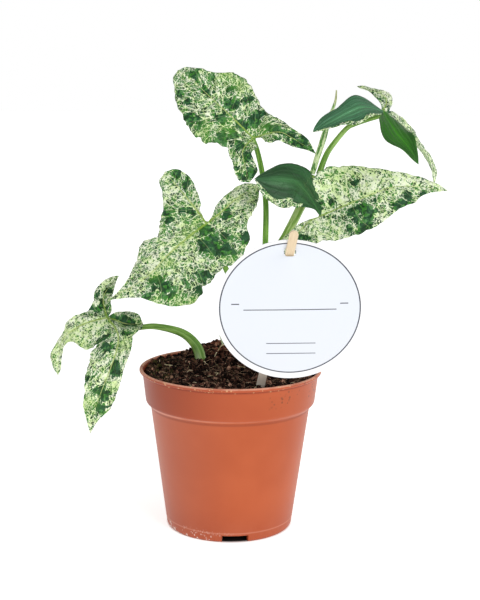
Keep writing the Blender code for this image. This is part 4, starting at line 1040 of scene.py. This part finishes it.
def blade(name, leaf):
    """One leaf as a closed thin shell. The flat leaf is put in space along the lobes' ribs, waved and quilted
    along its normals, and given an upper and a lower face. The lower one has a ridge under each midrib."""
    lobes = [Lobe(leaf["base"], leaf["facing"], spec) for spec in leaf["lobes"]]
    ahead = lobes[leaf.get("middle", 1)].along[0]
    up = unit(np.array(leaf["facing"]) - np.dot(leaf["facing"], ahead) * ahead)
    left = np.cross(up, ahead)
    angles = np.unwrap([math.atan2(lobe.along[0] @ left, lobe.along[0] @ ahead) for lobe in lobes])
    table, faces = flat_blade(leaf, lobes, angles)
    r, angle, u, t, q, p, phase, wave, number = table.T
    x, y, off = r * np.cos(angle) / MM, r * np.sin(angle) / MM, np.abs(p)
    plain, green, banded = lobe_paint(leaf, number, u, t, p)
    points = sum(share[:, None] * lobe.place(r * np.cos(angle - at), r * np.sin(angle - at))
                 for share, lobe, at in zip(lobe_shares(angle, angles), lobes, angles))
    raised = wave * BLADE_WAVE + quilting(leaf, x, y, u, t, off, phase, plain) * MM
    points = points + sheet_normals(points, faces) * raised[:, None]
    normals = sheet_normals(points, faces)
    half = (0.34 - 0.16 * t**3) * MM
    ridge = 0.75 * MM * hump(off, 0, 1.1) * (1 - u)**0.8
    upper, lower = points + normals * half[:, None], points - normals * (half + ridge)[:, None]
    depth = (leaf["cover"] + leaf["patches"] * spot_mask(leaf["green"], x, y)
             - 0.16 * spot_mask(leaf["pale"], x, y))
    seed = 31.7 * leaf["seed"]
    values = {"flat": (x, y, seed), "vein": (q, p, seed), "rib": (off, phase, u), "plain": green.T,
              "tone": (depth + banded, spot_mask(leaf["bright"], x, y), plain)}
    values = {key: np.tile(columns(*table), (2, 1)) for key, table in values.items()}
    values["form"] = columns(np.tile(t, 2), np.repeat([0.0, 1.0], len(x)), leaf["midrib"])
    shell = [faces, faces[:, ::-1] + len(x), closing_band(faces, len(x))]
    piece(name + "_blade", np.vstack([upper, lower]), shell, LEAF, [name], values)


def sheet_normals(points, faces):
    """The normal at each point: the sum of its faces' area-weighted normals, made 1 long."""
    corner = points[faces]
    across = np.cross(corner[:, 1] - corner[:, 0], corner[:, 2] - corner[:, 0])
    total = np.zeros_like(points)
    for k in range(3):
        np.add.at(total, faces[:, k], across)
    return unit(total)


def closing_band(faces, count):
    """Quads that join the rim of a sheet to its copy count points on: one for each edge with a single
    face."""
    edges = np.concatenate([faces[:, [0, 1]], faces[:, [1, 2]], faces[:, [2, 0]]])
    key = np.sort(edges, axis=1) @ [count, 1]
    _, index, uses = np.unique(key, return_inverse=True, return_counts=True)
    rim = edges[uses[index] == 1]
    return np.stack([rim[:, 1], rim[:, 0], rim[:, 0] + count, rim[:, 1] + count], axis=1)


# The stalks

def stem_line(name):
    """The centre line in metres. A leaf's stalk goes on to the underside of its blade, which it meets
    squarely."""
    held = np.array(STEMS[name]["path"], float) * MM
    for leaf in LEAVES.values():
        if leaf["petiole"] == name:
            base, face = np.array(leaf["base"]) * MM, unit(leaf["facing"])
            held = np.vstack([held, base - face * STALK_APPROACH, base - face * STALK_END])
    return smooth_path(held, STALK_STEPS)


def make_stems():
    """Each stalk is a tube whose radius falls as the 1.5th power from its foot to its head. A shallow channel
    runs along a leaf stalk's upper side, low ribs run round each stalk, and each joint ring is a raised band.
    The tint is how green and how cream each point is, and how brown a joint ring is."""
    share, turn = np.linspace(0, 1, STALK_STEPS)[:, None], turn_round(STALK_SIDES)
    for k, (name, stem) in enumerate(STEMS.items()):
        low, high = stem["radius"]
        rings = stem.get("rings", ())
        channel = 0.13 * hump(turn, TURN / 4, 0.55) * name.startswith("petiole")
        ribs = 0.018 * np.cos(7 * turn + 5 * share)
        bands = sum(0.10 * hump(share, at, 0.010) for at in rings)
        ends = np.sqrt(np.clip(np.minimum(share, 1 - share) / 0.012, 0.04, 1)) if name == "young_shoot" else 1
        radii = (high + (low - high) * (1 - share)**1.5) * MM * (1 - channel + ribs + bands) * ends
        points, faces, angle, run = tube(stem_line(name), radii)
        along, top = run / run.max(), hump(angle, TURN / 4, 0.5)
        cream = stem["cream"] * top * eased(along, 0.95, 0.5)
        if name == "young_shoot":
            cream = 0.8 * (1 - top)
        if name == "petiole_low_left":
            sheath = hump(angle, 5.2, 0.55) + hump(angle, 3.6, 0.25)
            cream = np.maximum(cream * eased(along, 0.10, 0.3), sheath * eased(along, 0.30, 0.14))
        values = {"line": columns(angle * 2.2, run / MM, 13.0 * k),
                  "tint": columns(stem["green"], 0.8 * cream,
                                  0.35 * sum(hump(along, at, 0.006) for at in rings))}
        piece(name + "_stalk", points, faces, STALK, [name], values)


def make_new_leaf():
    """The rolled leaf: a tube whose radius grows by a fifth once round, which leaves the free edge as a step
    that runs up the roll, and tapers to a thin tip."""
    path = smooth_path(np.array(NEW_LEAF_PATH) * MM, NEW_LEAF_STEPS)
    share = np.linspace(0, 1, NEW_LEAF_STEPS)[:, None]
    free_edge = (np.arange(NEW_LEAF_SIDES) / NEW_LEAF_SIDES + 0.35 * share + 0.1) % 1.0
    radii = np.interp(share, NEW_LEAF_SHARES, NEW_LEAF_RADII) * MM * (0.90 + 0.2 * free_edge)
    points, faces, angle, run = tube(path, radii)
    values = {"line": columns(angle * 2.0, run / MM, 71.0)}
    piece("new_leaf_roll", points, faces, ROLLED, ["new_leaf"], values)


# The pot and the soil

def wall_radius(height):
    """The pot's outer radius at a height: the tapered body, the step and the collar above it."""
    radii, heights, _ = np.transpose(OUTER_WALL) * MM
    return np.interp(height, heights, radii)


def make_pot():
    """The turned body. In a foot notch every point under the notch's top is lifted to it, and the drain holes
    are cut through the floor."""
    inside = [(wall_radius(h * MM) / MM - WALL, h, 0.8) for h in INNER_WALL_HEIGHTS]
    profile = rounded([*FOOT, *OUTER_WALL, *LIP, *inside, *INNER_FLOOR])
    # The long straight walls get rows of their own, so that their faces stay near square.
    rows = []
    for a, b in zip(profile[:-1], profile[1:]):
        steps = max(1, int(np.linalg.norm(b - a) / POT_ROW))
        rows.append(a + (b - a) * np.arange(steps)[:, None] / steps)
    middle = -TURN / 4 + NOTCH_TURN + TURN * np.arange(NOTCH_COUNT) / NOTCH_COUNT
    sides = middle[:, None] + np.outer((-1, 1), (NOTCH_HALF - NOTCH_SLOPE, NOTCH_HALF + NOTCH_SLOPE)).ravel()
    turn = np.unique(np.round(np.concatenate([turn_round(POT_SEGMENTS), sides.ravel() % TURN]), 6))
    points, faces = turned(np.vstack([*rows, profile[-1:]]), turn)
    angle, radius = np.arctan2(points[:, 1], points[:, 0]), np.hypot(points[:, 0], points[:, 1])
    off = np.abs((angle[:, None] - middle + math.pi) % TURN - math.pi).min(axis=1)
    points[(off < NOTCH_HALF) & (radius > NOTCH_INSIDE) & (points[:, 2] < NOTCH_TOP), 2] = NOTCH_TOP
    pot = piece("pot_body", points, faces, PLASTIC, ["pot"])
    merged(pot, POT_JOIN)
    hole, hole_faces = turned(np.array(DRAIN_SECTION) * MM, turn_round(DRAIN_SIDES))
    at = -TURN / 4 + TURN * (np.arange(DRAIN_COUNT) + 0.5) / DRAIN_COUNT
    holes = hole + DRAIN_CIRCLE * columns(np.cos(at), np.sin(at), 0)[:, None]
    cut(pot, holes.reshape(-1, 3), [f + len(hole) * k for k in range(DRAIN_COUNT) for f in hole_faces])
    merged(pot, POT_JOIN)
    pot.data.set_sharp_from_angle(angle=POT_SHARP)


def cut(target, points, faces):
    """Takes the body with these points and faces out of the target's mesh, and keeps the result as its
    mesh."""
    cutter = piece("drain_cutter", points, faces, PLASTIC)
    modifier = target.modifiers.new("drain_holes", "BOOLEAN")
    modifier.operation, modifier.solver, modifier.object = "DIFFERENCE", "EXACT", cutter
    graph = bpy.context.evaluated_depsgraph_get()
    result = bpy.data.meshes.new_from_object(target.evaluated_get(graph))
    target.modifiers.clear()
    target.data = result
    bpy.data.objects.remove(cutter)


def soil_height(x, y):
    """The soil's top: it rises to the back, and up the left wall by the square of the way out, is heaped at
    the back by exp(-distance^2), and has lumps of three sizes."""
    out = np.hypot(x, y) / RIM_RADIUS
    level = SOIL_FRONT + SOIL_RISE * (y / RIM_RADIUS + 1) / 2
    level = np.minimum(level + SOIL_LEFT * np.maximum(0, 0.2 - x / RIM_RADIUS) * out**2, SOIL_TOP)
    heap = MOUND_RISE * hump(np.hypot(x - MOUND_X, y - MOUND_Y), 0, MOUND_REACH)
    rough = sum(height * lumps(x, y, cell * MM, seed) for height, cell, seed in SOIL_LUMPS)
    return level + heap + rough * MM * np.clip((1 - out) * 5, 0, 1)


def make_soil():
    """Rings of the lumpy top out to the wall, then straight down inside it to the floor, closed by two
    poles."""
    turn, gap = turn_round(SOIL_SEGMENTS), (WALL + SOIL_GAP) * MM
    radius = (wall_radius(98 * MM) - gap) * np.linspace(0, 1, SOIL_RINGS + 1)[1:, None]
    x, y = radius * np.cos(turn), radius * np.sin(turn)
    side = [(wall_radius(h * MM) - gap, h * MM) for h in SOIL_SIDE_HEIGHTS]
    radius, z = np.array([*side, SOIL_FOOT]).T[:, :, None]
    rings = np.vstack([columns(x, y, soil_height(x, y)),
                       columns(radius * np.cos(turn), radius * np.sin(turn), z)])
    points, faces = capped(rings, (0, 0, soil_height(0.0, 0.0)), (0, 0, SOIL_FOOT[1]), flip=True)
    piece("soil_body", points, faces, PEAT, ["soil"])


def make_crumbs():
    """Crumbs: each is the twelve-point body of golden-ratio rectangles, with its points pushed in or out at
    random, stretched and turned, and sunk a third into the soil. Seeded."""
    rng = np.random.default_rng(12)
    g = (1 + 5**0.5) / 2
    ball = unit([(-1, g, 0), (1, g, 0), (-1, -g, 0), (1, -g, 0), (0, -1, g), (0, 1, g),
                 (0, -1, -g), (0, 1, -g), (g, 0, -1), (g, 0, 1), (-g, 0, -1), (-g, 0, 1)])
    sides = np.array([(0, 11, 5), (0, 5, 1), (0, 1, 7), (0, 7, 10), (0, 10, 11), (1, 5, 9), (5, 11, 4),
                      (11, 10, 2), (10, 7, 6), (7, 1, 8), (3, 9, 4), (3, 4, 2), (3, 2, 6), (3, 6, 8),
                      (3, 8, 9), (4, 9, 5), (2, 4, 11), (6, 2, 10), (8, 6, 7), (9, 8, 1)])
    radius = CRUMB_SPREAD * np.sqrt(rng.uniform(0, 1, CRUMBS))
    turn = rng.uniform(0, TURN, CRUMBS)
    x, y = radius * np.cos(turn), radius * np.sin(turn)
    x[:HEAPED_CRUMBS] = MOUND_X + rng.normal(0, 8 * MM, HEAPED_CRUMBS)
    y[:HEAPED_CRUMBS] = MOUND_Y + rng.normal(0, 6 * MM, HEAPED_CRUMBS)
    inside = np.hypot(x, y) < LOOSE_EDGE
    x, y = x[inside], y[inside]
    count = len(x)
    size = (0.35 + 1.9 * rng.uniform(0, 1, count)**4) * MM
    shape = ball * rng.uniform(0.72, 1.28, (count, 12, 1)) * rng.uniform(0.6, 1.25, (count, 1, 3))
    spin, tip = rng.uniform(0, TURN, (2, count))
    shape = shape @ (turns(spin, 2) @ turns(tip, 0)).transpose(0, 2, 1) * size[:, None, None]
    centre = columns(x, y, soil_height(x, y) + 0.3 * size)
    points = (shape + centre[:, None]).reshape(-1, 3)
    faces = (sides + 12 * np.arange(count)[:, None, None]).reshape(-1, 3)
    own = np.repeat(rng.uniform(-1, 1, count) ** 3, 12)
    piece("soil_crumbs", points, [faces], CRUMB, values={"crumb": columns(own, 0, 0)})


def fibres(name, count, length, thickness, seed, finish, spots=None, lift=0.0):
    """Loose fibres on the soil: each is a three-sided tube along an arc, x and y from a start, a heading and
    a steady turn, with its height a low hump above the soil. The starts, headings and lengths are random, or
    those of the spots, and lift raises the fibres. Seeded."""
    rng = np.random.default_rng(seed)
    radius = FIBRE_SPREAD * np.sqrt(rng.uniform(0, 1, count))
    turn = rng.uniform(0, TURN, count)
    x0, y0 = radius * np.cos(turn), radius * np.sin(turn)
    heading = rng.uniform(0, TURN, count)
    long = length * rng.uniform(0.5, 1.4, count)
    if spots:
        x0, y0, heading, long = np.transpose(spots) * np.array([MM, MM, math.radians(1), MM])[:, None]
    s = np.linspace(0, 1, FIBRE_STEPS)[None]
    bend = heading[:, None] + rng.normal(0, 0.8, (count, 1)) * s
    x = x0[:, None] + np.cumsum(np.cos(bend), axis=1) / FIBRE_STEPS * long[:, None]
    y = y0[:, None] + np.cumsum(np.sin(bend), axis=1) / FIBRE_STEPS * long[:, None]
    away = np.maximum(1, np.hypot(x, y) / LOOSE_EDGE)
    x, y = x / away, y / away
    arch = rng.uniform(0.2, 1.6, (count, 1)) * MM * np.sin(math.pi * s)
    z = soil_height(x, y) * 0.4 + soil_height(x0, y0)[:, None] * 0.6 + 0.5 * MM + arch
    path = columns(x, y, np.maximum(z, soil_height(x, y) + thickness) + lift)
    along = unit(np.gradient(path, axis=1))
    across = unit(np.cross(along, (0.0, 0.0, 1.0)))
    up = np.cross(across, along)
    corner = turn_round(3)[:, None]
    thinner = (0.35 + 0.65 * np.sin(math.pi * s))[..., None, None]
    thin = thickness * rng.uniform(0.6, 1.3, (count, 1, 1, 1)) * thinner
    ring = np.cos(corner) * across[:, :, None] + np.sin(corner) * up[:, :, None]
    points = (path[:, :, None] + ring * thin).reshape(-1, 3)
    size = 3 * FIBRE_STEPS
    caps = np.array([(0, 1, 2), (size - 1, size - 2, size - 3)])
    start = size * np.arange(count)[:, None, None]
    faces = [(net(FIBRE_STEPS, 3)[:, ::-1] + start).reshape(-1, 4), (caps + start).reshape(-1, 3)]
    piece(name, points, faces, finish)


# The card and its stick

def make_card():
    """Rings from the edge of the slot to the rim: the point at share k lies k^1.6 of the way from the slot's
    rounded oblong to the rim's circle. The stick pushes the slot's edge back above and forward below by
    (1 - share)^2. The rim and the slot's edge are rounded over by rows between the two faces."""
    turn = turn_round(CARD_SEGMENTS)
    across, rise = np.cos(turn), np.sin(turn)
    slot = columns(across, rise) * SLOT_SIZE / 2 / (across**4 + rise**4)[:, None]**0.25
    drop = CARD_RADIUS - SLOT_BELOW_TOP
    far = np.sqrt((rise * drop)**2 + CARD_RADIUS**2 - drop**2) - rise * drop
    rim = columns(across * far, rise * far)
    share = np.linspace(0, 1, CARD_RINGS + 1)[1:-1] ** 1.6
    # One loop of shares and depths round the card's section: front face out, rim, back face in, slot edge.
    out = np.concatenate([share, [0.9985, 1, 1, 0.9985], share[::-1], [0.004, 0, 0, 0.004]])[:, None]
    face, edge = np.full(len(share), 0.5), np.array([-0.46, -0.2, 0.2, 0.46])
    deep = np.concatenate([-face, edge, face, -edge])[:, None]
    flat = slot + (rim - slot) * out[..., None]
    push = SLOT_PUSH * rise * (1 - out)**2
    points = columns(flat[..., 0], push + deep * CARD_THICKNESS, flat[..., 1]).reshape(-1, 3)
    lean = (Matrix.Translation(SLOT_CENTRE) @ Matrix.Rotation(CARD_LEAN, 4, "X")
            @ Matrix.Rotation(CARD_TURN, 4, "Y"))
    faces = net(len(out), CARD_SEGMENTS, looped=True)[:, ::-1]
    front = np.repeat(deep, CARD_SEGMENTS) < 0
    values = {"print": columns(points[:, 0] / MM, (points[:, 2] + drop) / MM, front)}
    card = piece("label_card_disc", in_place(lean, points), [faces], CARD, ["label_card"], values)
    card.data.set_sharp_from_angle(angle=CARD_SHARP)


def make_stick():
    """The stick's outline has round ends; its section is that outline drawn in by a small rounding at both
    faces, so that the long edges are eased."""
    length, half = STICK_ABOVE_SLOT + STICK_BELOW_SLOT, STICK_WIDTH / 2
    bow, side = np.linspace(0, math.pi, 17), np.zeros(58)
    end = np.full(17, length / 2 - half)
    straight = np.linspace(-end[0], end[0], len(side) + 2)[1:-1]
    spine = np.concatenate([end, straight[::-1], -end, straight])
    turn = np.concatenate([bow, side + math.pi, bow + math.pi, side])
    inset = np.array([half, 0.30 * half, 0.20 * MM, 0.05 * MM, 0.0])
    level = np.array([0.5, 0.5, 0.5, 0.38, 0.15]) * STICK_THICKNESS
    reach = (half - np.concatenate([inset, inset[::-1]]))[:, None]
    level = np.concatenate([-level, level[::-1]])[:, None]
    points = columns(reach * np.cos(turn), level, spine + reach * np.sin(turn)).reshape(-1, 3)
    lean = Matrix.Rotation(STICK_LEAN, 4, "X") @ Matrix.Rotation(STICK_SIDE_LEAN, 4, "Y")
    middle = Matrix.Translation((0, 0, (STICK_ABOVE_SLOT - STICK_BELOW_SLOT) / 2))
    placed = in_place(Matrix.Translation(SLOT_CENTRE) @ lean @ middle, points)
    values = {"line": points[:, [0, 2, 1]] / MM}
    stick = piece("label_stick_wood", placed, [net(len(reach), len(spine))], WOOD, ["label_stick"],
                  values)
    merged(stick, STICK_JOIN)


# Floor, light and camera

def make_stage():
    """A wide pale floor that glows a little beyond the pot and has a painted shadow, nearly black, where the
    pot stands, a pale world, a broad soft key from the upper right front and a weaker one from straight in
    front."""
    made, t, shader = material("studio_floor", 0.9, 0.1)
    away = t.distance(t.place())
    pale = t.mix(t.noise(t.place(), 3.0), (0.93, 0.93, 0.93), (0.95, 0.95, 0.95))
    # Painted shadow: the floor is nearly black where the pot stands.
    t.feed(shader["Base Color"], t.mix(t.ease(away, 0.0385, 0.0405), (0.02, 0.018, 0.016), pale))
    t.feed(shader["Emission Color"], t.mix(t.ease(away, 0.0400, 0.0425), (0, 0, 0), (1, 1, 1)))
    shader["Emission Strength"].default_value = 0.60
    turn = turn_round(96)
    mesh = bpy.data.meshes.new("floor")
    mesh.from_pydata((FLOOR_RADIUS * columns(np.cos(turn), np.sin(turn), 0)).tolist(), [], [list(range(96))])
    mesh.materials.append(made)
    floor = bpy.data.objects.new("floor", mesh)
    bpy.context.scene.collection.objects.link(floor)
    world = bpy.data.worlds.new("studio")
    world.use_nodes = True
    bpy.context.scene.world = world
    tree, back = Tree(world.node_tree), world.node_tree.nodes["Background"].inputs
    back["Color"].default_value = (1, 1, 1, 1)
    tree.feed(back["Strength"], tree.blend(tree.add("ShaderNodeLightPath", {}, "Is Camera Ray"), 0.52, 1.0))
    for name, aim, spread, strength in LAMPS:
        lamp = bpy.data.lights.new(name, "SUN")
        lamp.angle, lamp.energy = math.radians(spread), strength
        holder = bpy.data.objects.new(name, lamp)
        holder.rotation_euler = Vector(aim).to_track_quat("-Z", "Y").to_euler()
        bpy.context.scene.collection.objects.link(holder)


def make_camera():
    """At the photograph's angle: 0.8 m in front, 0.295 m up, tilted down and rolled a little."""
    data = bpy.data.cameras.new("camera")
    data.lens, data.sensor_width = CAMERA_LENS, 36.0
    data.clip_start, data.clip_end = 0.02, 60.0
    camera = bpy.data.objects.new("camera", data)
    tilt = Matrix.Rotation(math.pi / 2 - CAMERA_TILT, 4, "X") @ Matrix.Rotation(CAMERA_ROLL, 4, "Z")
    camera.matrix_world = Matrix.Translation(CAMERA_PLACE) @ tilt
    bpy.context.scene.collection.objects.link(camera)
    bpy.context.scene.camera = camera


for startup in [o for o in bpy.data.objects if o.name in ("Cube", "Light", "Camera")]:
    bpy.data.objects.remove(startup)
bpy.context.scene.view_settings.view_transform = "Standard"
for leaf_name, leaf_spec in LEAVES.items():
    blade(leaf_name, leaf_spec)
make_stems()
make_new_leaf()
make_pot()
make_soil()
make_crumbs()
fibres("coir_fibres", 520, 9 * MM, 0.14 * MM, 21, COIR)
fibres("straw_fibres", 56, 6 * MM, 0.21 * MM, 22, STRAW)
fibres("straw_twigs", len(TWIGS), 0.0, 0.42 * MM, 25, STRAW, TWIGS, 1.7 * MM)
make_card()
make_stick()
make_stage()
make_camera()
